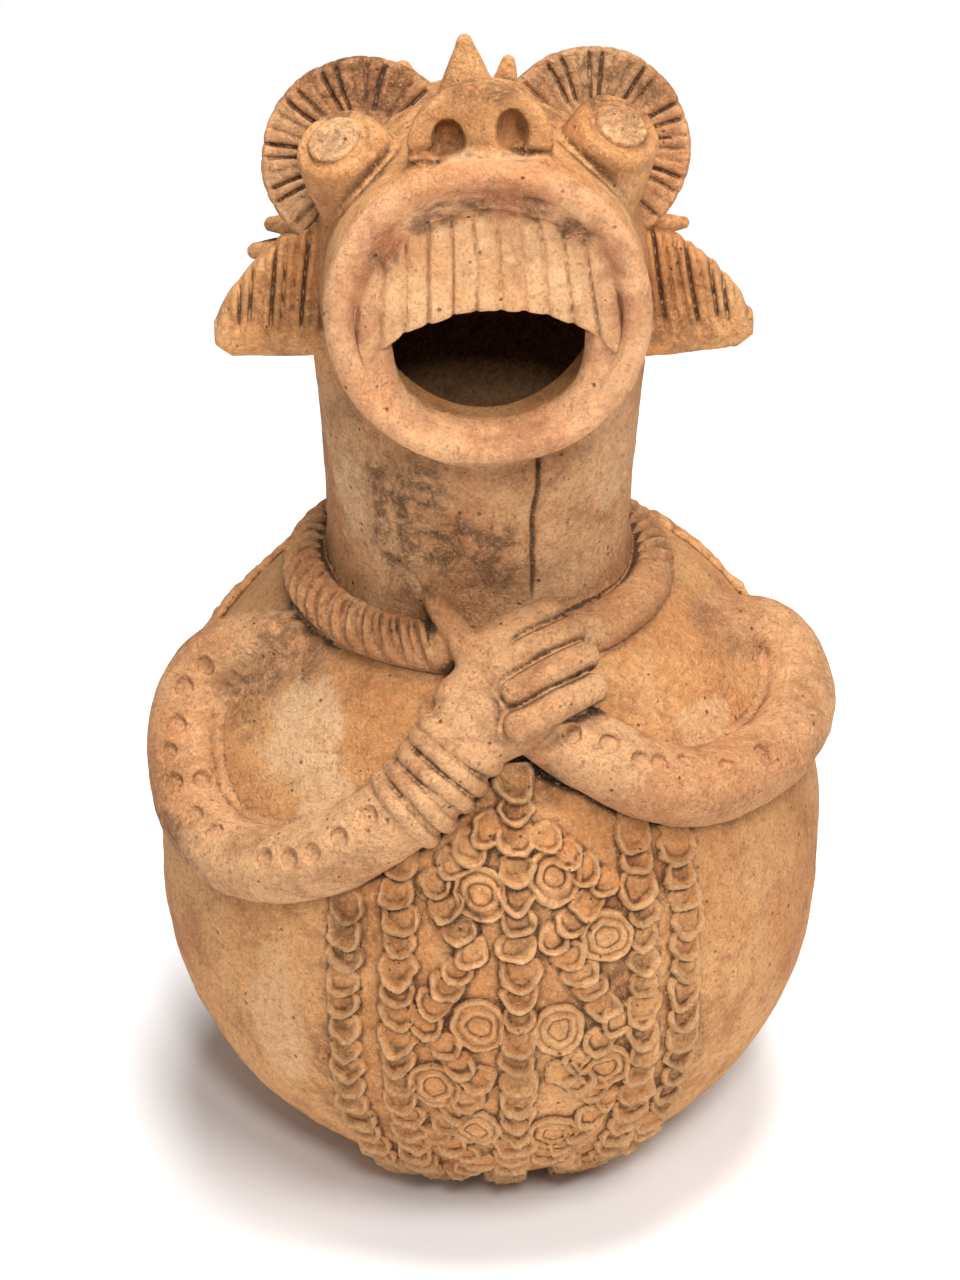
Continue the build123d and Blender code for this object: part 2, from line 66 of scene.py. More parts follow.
HEAD_AXES = turn_matrix("Z", HEAD_YAW) @ turn_matrix("Y", HEAD_ROLL)
MOUTH_AXES = HEAD_AXES @ turn_matrix("X", MUZZLE_TILT)

# Noise and shaping

LATTICE = np.random.default_rng(41).uniform(-1, 1, (64, 64, 64)).astype(float32)


def noise(p, size, seed=0):
    """Smooth noise from -1 to 1 with lumps of this size."""
    q = np.asarray(p, float32) / size + array([3.7, 11.3, 5.9], float32) * (seed + 1)
    i = np.floor(q).astype(np.int32)
    f = q - i
    f = f * f * (3 - 2 * f)
    x0, y0, z0 = (i[..., k] & 63 for k in range(3))
    x1, y1, z1 = ((i[..., k] + 1) & 63 for k in range(3))
    fx, fy, fz = f[..., 0], f[..., 1], f[..., 2]

    def along(y, z):
        return LATTICE[x0, y, z] * (1 - fx) + LATTICE[x1, y, z] * fx

    low = along(y0, z0) * (1 - fy) + along(y1, z0) * fy
    high = along(y0, z1) * (1 - fy) + along(y1, z1) * fy
    return low * (1 - fz) + high * fz


def hand_marks(p):
    """How far the potter's hands left the surface proud of its true form."""
    pits = clip(noise(p, 2.3, 9) - 0.52, 0, 1)
    lumps = 0.5 * noise(p, 31, 1) + 0.3 * noise(p, 12, 2) + 0.2 * noise(p, 4.5, 3) + 0.09 * noise(p, 1.7, 4)
    return lumps - 0.9 * pits


def handled(field, share, *args):
    """A field with a share of the hand marks."""
    return lambda p: field(p, *args) - hand_marks(p) * share


def ramp(x, lo, hi):
    t = clip((x - lo) / (hi - lo), 0, 1)
    return t * t * (3 - 2 * t)


def bump(x, width):
    return np.exp(-((x / width) ** 2))


def smin(a, b, k):
    """The lower of two fields, with a fillet about k wide where they meet."""
    h = clip(k - abs(a - b), 0, None)
    return minimum(a, b) - h * h / (4 * k)


def smax(a, b, k):
    return -smin(-a, -b, k)


def norm(v):
    return np.sqrt((v * v).sum(-1))


def unit(v):
    v = np.asarray(v, float)
    return v / sqrt((v * v).sum())


def rod(p, a, b, ra, rb):
    """A round rod with domed ends that tapers from ra to rb."""
    ab = b - a
    t = clip((p - a) @ ab / (ab @ ab), 0, 1)
    return norm(p - a - t[:, None] * ab) - (ra + (rb - ra) * t)


def round_of(p, centre, axis):
    """Height along an axis and distance from it."""
    v = p - centre
    h = v @ axis
    return h, norm(v - h[:, None] * axis)


# Places on the body


def on_skin(az, lat, lift=0.0):
    az, lat = np.asarray(az, float), np.asarray(lat, float)
    belt = clip(lat, -HALF_BELT, HALF_BELT)
    tilt = np.radians(lat - belt)
    r = (BODY_R + lift) * np.cos(tilt)
    z = BODY_CZ + BELT_H / 2 + BODY_R * np.radians(belt) + (BODY_R + lift) * np.sin(tilt)
    return stack([r * np.sin(np.radians(az)), -r * np.cos(np.radians(az)), z], -1)


def skin_normal(az, lat):
    return on_skin(az, lat, 1.0) - on_skin(az, lat)


def body_form(p):
    z = p[:, 2] - clip(p[:, 2], BODY_CZ, BODY_CZ + BELT_H)
    return np.sqrt(p[:, 0] ** 2 + p[:, 1] ** 2 + z * z) - BODY_R - hand_marks(p)


def curve(points, count):
    """Points evenly along a smooth line through the given ones."""
    pts = array(points, float)
    ext = np.vstack([2 * pts[0] - pts[1], pts, 2 * pts[-1] - pts[-2]])
    fine = []
    for a, b, c, d in zip(ext, ext[1:], ext[2:], ext[3:]):
        t = linspace(0, 1, 24, endpoint=False)[:, None]
        square, cube = 2 * a - 5 * b + 4 * c - d, 3 * b - a - 3 * c + d
        fine.append(0.5 * (2 * b + (c - a) * t + square * t**2 + cube * t**3))
    fine = np.vstack([*fine, pts[-1:]])
    run = np.r_[0, np.cumsum(norm(np.diff(fine, axis=0)))]
    return stack([interp(linspace(0, run[-1], count), run, fine[:, k]) for k in range(3)], -1)


def line_distance(p, line):
    """Distance from a line of short segments, and how far along it that is, 0 to 1."""
    a, ab = line[:-1].astype(float32), np.diff(line, axis=0).astype(float32)
    p = p.astype(float32)
    best = np.min([norm(p - c) for c in a[::4]], axis=0)
    at = full(len(p), 0.5, float32)
    close = np.flatnonzero(best < 34)
    for s in range(0, len(close), 20000):
        some = close[s:s + 20000]
        v = p[some, None, :] - a
        t = clip((v * ab).sum(-1) / (ab * ab).sum(-1), 0, 1)
        d = ((v - t[..., None] * ab) ** 2).sum(-1)
        k = d.argmin(1)
        rows = arange(len(k))
        best[some] = np.sqrt(d[rows, k])
        at[some] = (k + t[rows, k]) / len(a)
    return best, at


# From fields to meshes


def field_grid(field, lo, hi, step):
    """The field on a grid, worked out closely only in blocks that the surface can cross."""
    block = 10
    first = np.floor(np.asarray(lo) / step).astype(int)
    blocks = np.ceil((np.asarray(hi) / step - first) / block).astype(int)
    cells, offsets = (stack(np.meshgrid(*map(arange, counts), indexing="ij"), -1).reshape(-1, 3)
                      for counts in (blocks, [block] * 3))
    rough = field((first + (cells + 0.5) * block) * step)
    values = np.empty((len(cells), block, block, block), float32)
    values[:] = rough[:, None, None, None]
    near = np.flatnonzero(abs(rough) < block * step * 1.15 + 1.5)
    for s in range(0, len(near), 150):
        some = near[s:s + 150]
        p = ((first + cells[some][:, None, :] * block + offsets) * step).reshape(-1, 3)
        values[some] = field(p).reshape(-1, block, block, block)
    values = values.reshape(*blocks, block, block, block).transpose(0, 3, 1, 4, 2, 5)
    return values.reshape(blocks * block), first


AXES = np.eye(3, dtype=int)


def surface(field, lo, hi, step):
    """A quad mesh of the field's zero surface: one vertex in each cell that it crosses."""
    v, first = field_grid(field, lo, hi, step)
    inside = v < 0
    count = zeros(array(v.shape) - 1, np.int8)
    corners = list(np.ndindex(2, 2, 2))
    size = count.shape
    for i, j, k in corners:
        count += inside[i:i + size[0], j:j + size[1], k:k + size[2]]
    mixed = (count > 0) & (count < 8)
    cell = np.argwhere(mixed)
    index = full(size, -1, np.int64)
    index[mixed] = arange(len(cell))
    total, hits = zeros((len(cell), 3)), zeros(len(cell))
    for axis in range(3):
        for corner in corners:
            if corner[axis] == 0:
                a = array(corner)
                b = a + AXES[axis]
                va, vb = v[tuple((cell + a).T)], v[tuple((cell + b).T)]
                cross = (va < 0) != (vb < 0)
                t = va[cross] / (va[cross] - vb[cross])
                total[cross] += a + t[:, None] * (b - a)
                hits[cross] += 1
    verts = (first + cell + total / hits[:, None]) * step
    quads = []
    for axis in range(3):
        u, w = AXES[(axis + 1) % 3], AXES[(axis + 2) % 3]
        a, b = (inside[tuple(cut if k == axis else slice(1, -1) for k in range(3))]
                for cut in (slice(0, -1), slice(1, None)))
        for change, way in ((a & ~b, 1), (~a & b, -1)):
            g = np.argwhere(change) + 1 - AXES[axis]
            ring = [g - u - w, g - w, g, g - u]
            ring = [index[tuple(c.T)] for c in ring[::way]]
            quads.append(stack(ring, -1))
    return verts, np.vstack(quads)


def grid_quads(rows, cols, closed):
    """Quads of a grid, whose rows may close on themselves."""
    i, j = np.meshgrid(arange(rows - 1), arange(cols if closed else cols - 1), indexing="ij")
    k = (j + 1) % cols
    corners = [i * cols + j, i * cols + k, (i + 1) * cols + k, (i + 1) * cols + j]
    return stack(corners, -1).reshape(-1, 4)


def vertex_normals(verts, quads):
    a, b, c, d = (verts[quads[:, k]] for k in range(4))
    n = np.cross(c - a, d - b)
    total = np.zeros_like(verts)
    for k in range(4):
        np.add.at(total, quads[:, k], n)
    return total / maximum(norm(total), 1e-9)[:, None]


def hollows(field, verts, normals):
    """Above 0 in crevices, below 0 on edges: how much clay surrounds a point. The colour paints dirt and
    shade into crevices, and wear and highlight onto edges, from it.
    """
    near = 1 - field(verts + normals)
    wide = (4.5 - field(verts + normals * 4.5)) / 4.5
    edge = (1.2 + field(verts - normals * 1.2)) / 1.2
    return clip(0.7 * near + 0.75 * wide, 0, 1) - clip(edge * 1.1, 0, 1)


def piece(node, verts, quads, looks):
    """A node's mesh, with wear and dirt, painted shade and highlight, slip, soot and red earth kept on its
    vertices.
    """
    name, slot = node + "_clay", SLOTS.get(node, "tan_clay")
    used, back = np.unique(quads, return_inverse=True)
    quads = back.reshape(quads.shape)
    mesh = bpy.data.meshes.new(name)
    mesh.vertices.add(len(used))
    mesh.vertices.foreach_set("co", (verts[used] / 1000).astype(float32).ravel())
    mesh.loops.add(quads.size)
    mesh.loops.foreach_set("vertex_index", quads.astype(np.int32).ravel())
    mesh.polygons.add(len(quads))
    mesh.polygons.foreach_set("loop_start", arange(0, quads.size, 4, dtype=np.int32))
    mesh.polygons.foreach_set("use_smooth", np.ones(len(quads), bool))
    mesh.update(calc_edges=True)
    for key, value in looks.items():
        mesh.attributes.new(key, "FLOAT", "POINT").data.foreach_set("value", value[used].astype(float32))
    obj = bpy.data.objects.new(name, mesh)
    bpy.context.collection.objects.link(obj)
    obj.data.materials.append(clays[slot])
    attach(obj, "root")
    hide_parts(node)


def mould(field, parts, carrier, lo, hi, step, extra=None):
    """Meshes for the parts of one moulded form: each face goes to its nearest part."""
    verts, quads = surface(field, lo, hi, step * COARSE)
    normals = vertex_normals(verts, quads)
    if carrier:
        quads = quads[(carrier(verts)[quads] > -0.07).any(1)]
    centre = verts[quads].mean(1)
    owner = np.argmin([part(centre) for part in parts.values()], axis=0)
    # Crevices get dirt and painted shade, edges get wear and painted highlight
    wear_and_painted_light = hollows(field, verts, normals)
    if extra:
        wear_and_painted_light = extra(verts, wear_and_painted_light)
    looks = looks_of(verts, wear_and_painted_light)
    for k, node in enumerate(parts):
        if (owner == k).any():
            piece(node, verts, quads[owner == k], looks)


def with_dirt_and_shade(share, more=0.0):
    """A share of the dirt and painted shade in the hollows, and some more all over."""
    return lambda p, wear_and_painted_light: wear_and_painted_light * share + more


# Slip, soot and red earth, placed where the pot wears them, and painted shade under the left forearm

EYE_END = (0.82, -0.57, 0.91)


def mirrored(v, side):
    """A place or direction on the right, turned over for the left."""
    return array([v[0] * side, *v[1:]])


def on_mouth(x, y, z):
    return HEAD_C + MOUTH_AXES @ array([x, y, z])


# Each place has its middle, how far it reaches each way, and how strong it is
SLIP_PLACES = [
    (on_skin(-42, 42), (15, 22, 17), 0.95),
    (on_skin(-33, 33), (12, 14, 9), 0.9),
    (on_skin(-40, -12), (10, 20, 26), 0.55),
    ((-38, -25, 205), (8, 12, 13), 0.9),
    ((33, -26, 206), (7, 12, 8), 0.6),
    (on_skin(52, 41), (16, 10, 6), 0.55),
    (on_skin(74, 26), (14, 22, 6), 0.5),
    ((-28, -24, 296), (9, 9, 8), 0.85),
    ((31, -32, 293), (7, 7, 8), 0.5),
    (on_mouth(0, 37, 50), (15, 7, 7), 0.8),
]
SOOT_AND_SHADE_PLACES = [
    ((-20, -36, 206), (17, 14, 22), 1.0),
    ((-4, -42, 197), (14, 10, 13), 0.9),
    ((14, -38, 222), (18, 14, 7), 0.35),
    ((-36, -8, 312), (20, 16, 13), 0.9),
    ((28, -8, 314), (20, 16, 13), 0.85),
    (on_skin(-60, 53), (16, 14, 11), 0.75),
    (on_skin(-63, 42), (9, 14, 12), 0.75),
    # Painted shade under the left forearm and on its underside
    (on_skin(-42, 17), (20, 14, 5), 0.5),
    (on_skin(-60, 17, 9), (28, 20, 10), 0.8),
    ((-52, -12, 254), (16, 12, 12), 0.55),
    ((50, -12, 254), (16, 12, 12), 0.6),
    (on_skin(2, 50, 8), (14, 14, 14), 0.4),
    (on_skin(5, 40), (16, 12, 9), 0.7),
    *[(HEAD_C + HEAD_AXES @ (mirrored(EYE_END, side) * HEAD_R), (11, 9, 9), 0.6) for _, side in SIDES],
    (on_skin(76, 49), (12, 12, 9), 0.35),
    (on_skin(-24, 12), (9, 12, 11), 0.6),
    (on_skin(-5, 18), (6, 9, 7), 0.7),
    (on_skin(22, 4), (7, 9, 8), 0.7),
    (on_skin(-28, -20), (8, 12, 30), 0.5),
    (on_skin(36, -18), (8, 12, 30), 0.5),
    (on_mouth(1, 31, 52), (8, 6, 6), 1.0),
    (on_mouth(12, 29, 52), (8, 6, 6), 0.9),
    (on_mouth(23, 22, 52), (7, 6, 6), 1.0),
    (on_mouth(-14, 27, 52), (9, 6, 6), 0.85),
    (on_mouth(-26, 17, 52), (6, 9, 6), 0.75),
    (on_mouth(0, 58, 42), (18, 9, 7), 0.8),
]


def patches(p, places, ragged, lo, hi):
    """How strongly points lie in any of the places, with ragged edges."""
    found = zeros(len(p))
    for centre, size, much in places:
        blob = np.exp(-(((p - centre) / size) ** 2).sum(-1))
        found = maximum(found, much * ramp(blob + ragged, lo, hi))
    return found


def looks_of(p, wear_and_painted_light):
    ragged = noise(p, 7, 21) * 0.6 + noise(p, 2.4, 22) * 0.5
    _, y, z, ring = in_mouth(p)
    around = bump(ring - 32.5, 6) * ramp(z, 42, 50)
    patchy = ramp(noise(p, 9, 23) + 0.5 * noise(p, 3, 24), -0.6, 0.5)
    return {
        "wear_and_painted_light": wear_and_painted_light,
        "slip": patches(p, SLIP_PLACES, 0.28 * ragged, 0.38, 0.62),
        "soot_with_shade": patches(p, SOOT_AND_SHADE_PLACES, 0.3 * ragged, 0.24, 0.66),
        "red": around * patchy * ramp(y, -24, 12),
    }


# Materials


def hex_rgb(code):
    c = array([int(code[i:i + 2], 16) for i in (1, 3, 5)]) / 255
    return (*np.where(c <= 0.04045, c / 12.92, ((c + 0.055) / 1.055) ** 2.4), 1.0)


def add(tree, kind, inputs=None, settings=None, output=0):
    """A shader node with its settings, and inputs that are values or links. Gives one of its outputs."""
    node = tree.nodes.new("ShaderNode" + kind)
    for key, value in (settings or {}).items():
        setattr(node, key, value)
    for key, value in (inputs or {}).items():
        if isinstance(value, bpy.types.NodeSocket):
            tree.links.new(value, node.inputs[key])
        else:
            node.inputs[key].default_value = value
    return node.outputs[output]


SMOOTH = {"interpolation_type": "SMOOTHSTEP"}
TIMES, PLUS = {"operation": "MULTIPLY"}, {"operation": "ADD"}
# Patterns in the clay: the size of their lumps in millimetres, then detail, roughness and distortion
GRAINS = {
    "clouds": (38, 4, 0.6, 0.2),
    "stains": (17, 7, 0.7, 0.15),
    "flecks": (5, 7, 0.78, 0.5),
    "spots": (1.6, 5, 0.8, 0.4),
    "flakes": (2.6, 5, 0.75, 0),
    "darkening": (6, 7, 0.75, 1),
    "grime": (3, 5, 0.75, 0),
    "sand": (0.9, 3, 0.7, 0),
    "grit": (0.9, 4, 0.75, 0),
    "scrapes": (3.4, 6, 0.72, 0.9),
}
PIT_SPACING, PIT_DEPTH, GRIT_DEPTH, SCRAPE_DEPTH = 2.6, 0.8, 0.8, 2.0
# The soot, dirt and deep dirt colours also paint shade, and the rubbed edge colour also paints highlight
CREAM_SLIP, RED_EARTH, SOOT_AND_SHADE, DIRT_AND_SHADE = "#ecc092", "#a8573a", "#452c1e", "#3f281b"
DEEP_DIRT_AND_SHADE, RUBBED_EDGE_AND_HIGHLIGHT, PALE_SAND, PIT = "#1c110a", "#e6b787", "#edc090", "#402618"


def clay(name, body, light, dark):
    """Low-fired clay, smoothed by hand: dull, mottled, with dirt and painted shade in the hollows and paler
    rubbed edges with painted highlight.
    """
    mat = bpy.data.materials.new(name)
    mat.use_nodes = True
    tree = mat.node_tree
    shader = tree.nodes["Principled BSDF"]
    mm = add(tree, "VectorMath", {0: add(tree, "TexCoord", output="Object"), 3: 1000}, {"operation": "SCALE"})
    grain = {}
    for key, (size, detail, rough, warp) in GRAINS.items():
        look = {"Vector": mm, "Scale": 1 / size, "Detail": detail, "Roughness": rough, "Distortion": warp}
        grain[key] = add(tree, "TexNoise", look)
    wear_and_painted_light, slip, soot_with_shade, red = (add(tree, "Attribute", None, {"attribute_name": key}, "Fac")
                             for key in ("wear_and_painted_light", "slip", "soot_with_shade", "red"))
    # Dirt and painted shade in the hollows, wear and painted highlight on the edges
    settled_dirt_and_shade = add(tree, "Math", {0: wear_and_painted_light, 1: add(tree, "Math", {0: grain["grime"], 1: 0.4}, TIMES)}, PLUS)
    edge_wear_and_highlight = add(tree, "Math", {0: wear_and_painted_light, 1: -1.0}, TIMES)
    # Pits of many sizes where grains of sand fell out
    cells = add(tree, "TexVoronoi", {"Vector": mm, "Scale": 1 / PIT_SPACING, "Randomness": 1.0}).node.outputs
    draw = add(tree, "SeparateColor", {"Color": cells["Color"]}).node.outputs
    width = add(tree, "Math", {0: draw[1], 1: 0.25}, PLUS)
    reach = add(tree, "Math", {0: cells["Distance"], 1: width}, {"operation": "DIVIDE"})
    hole = add(tree, "MapRange", {0: reach, 1: 0.08, 2: 0.24, 3: 1.0, 4: 0.0}, SMOOTH)
    chosen = add(tree, "MapRange", {0: draw[0], 1: 0.76, 2: 0.82}, SMOOTH)
    pits = add(tree, "Math", {0: hole, 1: chosen}, TIMES)
    # Veils of colour from the body outwards: pattern, from, to, thinnest, thickest, its patches, colour
    veils = (
        # Firing left the clay mottled from orange to tan, in clouds some centimetres wide
        (grain["clouds"], 0.4, 0.6, 0, 1, None, light),
        (grain["stains"], 0.46, 0.66, 0, 0.6, None, dark),
        (grain["flecks"], 0.52, 0.64, 0, 0.6, None, light),
        (grain["spots"], 0.52, 0.66, 0, 0.75, None, dark),
        # Worn cream slip and red earth lie in ragged patches
        (grain["flakes"], 0.36, 0.56, 0.25, 1, slip, CREAM_SLIP),
        (None, 0, 1, 0, 0.65, red, RED_EARTH),
        # Smoke and handling darkened it in places, and painted shade darkens the left forearm's underside
        (grain["darkening"], 0.4, 0.6, 0.08, 0.8, soot_with_shade, SOOT_AND_SHADE),
        # Dirt settled in hollows and pits, with painted shade there, darkest in the deepest hollows, and
        # rubbing left the edges paler, with painted highlight on them
        (settled_dirt_and_shade, 0.3, 1, 0, 0.85, None, DIRT_AND_SHADE),
        (wear_and_painted_light, 0.85, 1.2, 0, 1, None, DEEP_DIRT_AND_SHADE),
        (edge_wear_and_highlight, 0.12, 0.8, 0, 0.65, None, RUBBED_EDGE_AND_HIGHLIGHT),
        # Sand in the clay: fine dark and pale grains, and the pits
        (grain["sand"], 0.36, 0.48, 0.4, 0, None, dark),
        (grain["sand"], 0.54, 0.66, 0, 0.35, None, PALE_SAND),
        (None, 0, 1, 0, 0.7, pits, PIT),
    )
    colour = hex_rgb(body)
    for pattern, lo, hi, thin, thick, where, tint in veils:
        much = thick
        if pattern:
            much = add(tree, "MapRange", {0: pattern, 1: lo, 2: hi, 3: thin, 4: thick}, SMOOTH)
        if where:
            much = add(tree, "Math", {0: where, 1: much}, TIMES)
        colour = add(tree, "Mix", {0: much, 6: colour, 7: hex_rgb(tint)}, {"data_type": "RGBA"}, 2)
    tree.links.new(colour, shader.inputs["Base Color"])
    shader.inputs["Roughness"].default_value = 0.85
    shader.inputs["Specular IOR Level"].default_value = 0.2
    # Grit and fine scrape marks roughen the skin by tenths of a millimetre
    scraped = add(tree, "Math", {0: grain["scrapes"], 1: SCRAPE_DEPTH}, TIMES)
    gritty = add(tree, "Math", {0: grain["grit"], 1: GRIT_DEPTH, 2: scraped}, {"operation": "MULTIPLY_ADD"})
    sunk = add(tree, "Math", {0: pits, 1: PIT_DEPTH}, TIMES)
    skin = add(tree, "Math", {0: gritty, 1: sunk}, {"operation": "SUBTRACT"})
    relief = add(tree, "Bump", {"Strength": 1.0, "Distance": 0.001, "Height": skin})
    tree.links.new(relief, shader.inputs["Normal"])
    return mat


clays = {
    "tan_clay": clay("terracotta_hand_smoothed", "#d6945c", "#e6ab72", "#a86b40"),
    "brown_clay": clay("terracotta_smoke_browned", "#ce9060", "#e0ab7a", "#9a6642"),
    "red_clay": clay("terracotta_rubbed_with_red_earth", "#e09d6a", "#f0b684", "#b07350"),
    "pale_clay": clay("terracotta_with_worn_cream_slip", "#e8aa74", "#f6c28e", "#bc8054"),
}
CLAY_NODES = {
    "brown_clay": ("left_arm", "right_arm", "neck_tube", "necklace_coil", "wrist_bracelets", "hand_palm",
                   "hand_fingers", "hand_thumb", "left_fan", "right_fan"),
    "red_clay": ("mouth_lip", "upper_gum"),
    "pale_clay": ("upper_teeth", "left_eye_disc", "right_eye_disc"),
}
SLOTS = {node: slot for slot, nodes in CLAY_NODES.items() for node in nodes}

# Body: two halves that meet at the widest level

PANEL_AZ, PANEL_LAT, NECK_HOLE_R = (-34.0, 44.0), (-70.0, 43.0), 38.0
SEAM_LAT = -HALF_BELT
FOOT_LAT = -HALF_BELT - degrees(asin(BODY_CZ / BODY_R))
TOP_LAT = HALF_BELT + degrees(acos(NECK_HOLE_R / BODY_R))


def body_half(node, lats):
    """Half of the skin, finer under the belly's scales and closed under the foot."""
    fine = arange(*PANEL_AZ, degrees(BODY_STEP / BODY_R))
    ring = np.r_[fine, linspace(PANEL_AZ[1], PANEL_AZ[0] + 360, 220)[:-1]]
    az, lat = (grid.ravel() for grid in np.meshgrid(ring, lats))
    p = on_skin(az, lat)
    verts = p + skin_normal(az, lat) * (hand_marks(p) * ramp(p[:, 2], 0.0, 4.0))[:, None]
    verts[:, 2] = maximum(verts[:, 2], 0)
    cols = len(ring)
    quads = grid_quads(len(lats), cols, True)
    wear_and_painted_light = skin_dirt_and_shade(az, lat, p)
    if lats[0] == FOOT_LAT:
        foot = arange(cols)
        verts = np.vstack([verts, verts[foot] * [0.02, 0.02, 1]])
        middle = len(p) + foot
        under = stack([foot, middle, np.roll(middle, -1), np.roll(foot, -1)], -1)
        quads = np.vstack([quads, under])
        wear_and_painted_light = np.r_[wear_and_painted_light, zeros(cols)]
    piece(node, verts, quads, looks_of(verts, wear_and_painted_light))


# Belly: scales of clay pressed on with a fingertip, as a height map over the skin

STEP_DEG = degrees(BELLY_STEP / BODY_R)
PELLET, PELLET_PITCH, ZIGZAG_PITCH = 9.6, 7.2, 6.6
PITCH_DEG = degrees(PELLET_PITCH / BODY_R)
STRIP_HALF, STRIP_H = 3.4, 0.8
# Where nothing is laid, the height map lies this far under the skin
SUNK = -0.4
RAND = np.random.default_rng(7)


class Relief:
    """Heights above the skin for some nodes, over a patch of azimuth and latitude."""

    def __init__(self, az, lat):
        self.az, self.lat = arange(*az, STEP_DEG), arange(*lat, STEP_DEG)
        self.nodes = {}
        skin = on_skin(*np.meshgrid(self.az, self.lat)).reshape(-1, 3)
        sway = [0.9 * noise(skin, 5.5, seed) + 0.45 * noise(skin, 2.2, seed + 2) for seed in (33, 34)]
        self.sway = [shift.reshape(len(self.lat), len(self.az)) for shift in sway]

    def lay(self, node, az, lat, reach, shape):
        """Lays a shape on a node at a place, as far as it reaches in mm."""
        h = self.nodes.setdefault(node, full((len(self.lat), len(self.az)), SUNK))
        wide = BODY_R * cos(radians(lat - clip(lat, -HALF_BELT, HALF_BELT)))
        x, y = np.radians(self.az - az) * wide, np.radians(self.lat - lat) * BODY_R
        i, j = abs(y) < reach, abs(x) < reach
        x, y = np.meshgrid(x[j], y[i])
        spot = np.ix_(i, j)
        h[spot] = maximum(h[spot], shape(x + self.sway[0][spot], y + self.sway[1][spot]))

    # Between the scales: dirt and painted shade; on their tops: wear and painted highlight
    def wear_and_painted_light(self):
        h = maximum(np.max(list(self.nodes.values()), axis=0), 0)
        soft, wide = blurred(h, 3), blurred(h, 9)
        return clip((soft - h) * 1.1 + (wide - h) * 0.6, -1.0, 1.0)

    def mould(self):
        az, lat = (grid.ravel() for grid in np.meshgrid(self.az, self.lat))
        p = on_skin(az, lat)
        layers = stack([h.ravel() for h in self.nodes.values()])
        h, owner = layers.max(0), layers.argmax(0)
        rough = 0.4 * noise(p, 3.0, 31) + 0.25 * noise(p, 1.3, 32)
        h = h + rough * ramp(h, 0, 0.8)
        verts = p + skin_normal(az, lat) * (h + hand_marks(p))[:, None]
        verts[:, 2] = maximum(verts[:, 2], 0)
        looks = looks_of(verts, self.wear_and_painted_light().ravel())
        quads = grid_quads(len(self.lat), len(self.az), False)
        quads = quads[(h[quads] > -0.1).any(1)]
        for k, node in enumerate(self.nodes):
            piece(node, verts, quads[owner[quads[:, 0]] == k], looks)


def blurred(h, reach):
    for axis in (0, 1):
        pad = [(reach, reach) if a == axis else (0, 0) for a in (0, 1)]
        run = np.cumsum(np.pad(h, pad, mode="edge"), axis=axis)
        run = np.insert(run, 0, 0, axis=axis)
        n = 2 * reach + 1
        ahead, behind = range(n, run.shape[axis]), range(run.shape[axis] - n)
        h = (np.take(run, ahead, axis) - np.take(run, behind, axis)) / n
    return h


def scale(width, heading):
    """A fingertip's mark: a shallow cup with a thin rim at its thrust-up end, some pinched to a point."""
    w = width * RAND.uniform(0.88, 1.1) / 2
    long = w * RAND.uniform(0.85, 1.12)
    turn = radians(heading + RAND.uniform(-14, 14))
    dx, dy = RAND.uniform(-0.6, 0.6, 2)
    tall, dip, point = RAND.uniform(0.6, 1.25), RAND.uniform(0.5, 1.1), RAND.choice([0.0, 0.1, 0.5])
    thin, skew = RAND.uniform(0.08, 0.13), RAND.uniform(-0.35, 0.35)

    def shape(x, y):
        x, y = x - dx, y - dy
        u = (x * cos(turn) + y * sin(turn)) / w
        v = (-x * sin(turn) + y * cos(turn)) / long
        u = u * (1 + point * clip(-v, 0, 1.2))
        r = (abs(u) ** 2.3 + abs(v) ** 2.3) ** (1 / 2.3)
        lift = 0.7 * clip(skew * u - v, -0.5, 1) * ramp(-r, -1.06, -0.85)
        rim = 1.6 * tall * bump(r - 0.9, thin) * (0.08 + 0.92 * ramp(skew * u - v, -0.25, 0.4))
        mound = 1.35 * ramp(-r, -1.16, -0.82) - 1.5 * dip * ramp(-r, -0.95, -0.25)
        return np.where(r < 1.4, mound + lift + rim + SUNK * ramp(r, 1.02, 1.2), SUNK)

    return shape


def pellet(width):
    """A pellet pressed on and left standing: a round mound with a soft dent on top."""
    w, tall = width * RAND.uniform(0.9, 1.1) / 2, RAND.uniform(2.5, 3.3)
    dx, dy = RAND.uniform(-0.7, 0.7, 2)

    def shape(x, y):
        r = hypot(x - dx, y - dy) / w
        mound = tall * np.sqrt(clip(1 - r**2.4, 0, 1)) - 0.6 * bump(r, 0.4) + SUNK * ramp(r, 0.95, 1.15)
        return np.where(r < 1.4, mound, SUNK)

    return shape


def roundel(x, y):
    """A low disc with two raised rings about a dented boss."""
    rho = hypot(x, y) * (0.9 + 0.05 * np.sin(2 * np.arctan2(y, x) + 1))
    h = 1.2 + 0.55 * bump(rho - 6.1, 0.5) - 0.3 * bump(rho - 5.0, 0.6) + 0.45 * bump(rho - 3.7, 0.5)
    h = h - 0.4 * bump(rho - 2.8, 0.5) + 0.25 * bump(rho, 1.8) - 0.35 * bump(rho, 0.6)
    return np.where(rho < 8.5, h * ramp(-rho, -7.2, -6.2) + SUNK * ramp(rho, 6.6, 7.5), SUNK)


def bed(x, y):
    """The soft bed of a scale in a slanting row."""
    return 1.3 * bump(hypot(x, y), 5.2) + SUNK * ramp(hypot(x, y), 3, 6)


def strip(x, y):
    """The flat strip under a column of scales."""
    away = abs(x)
    raised = STRIP_H * ramp(-away, -STRIP_HALF - 1.2, -STRIP_HALF + 0.8)
    return raised + SUNK * ramp(away, STRIP_HALF, STRIP_HALF + 1.2)


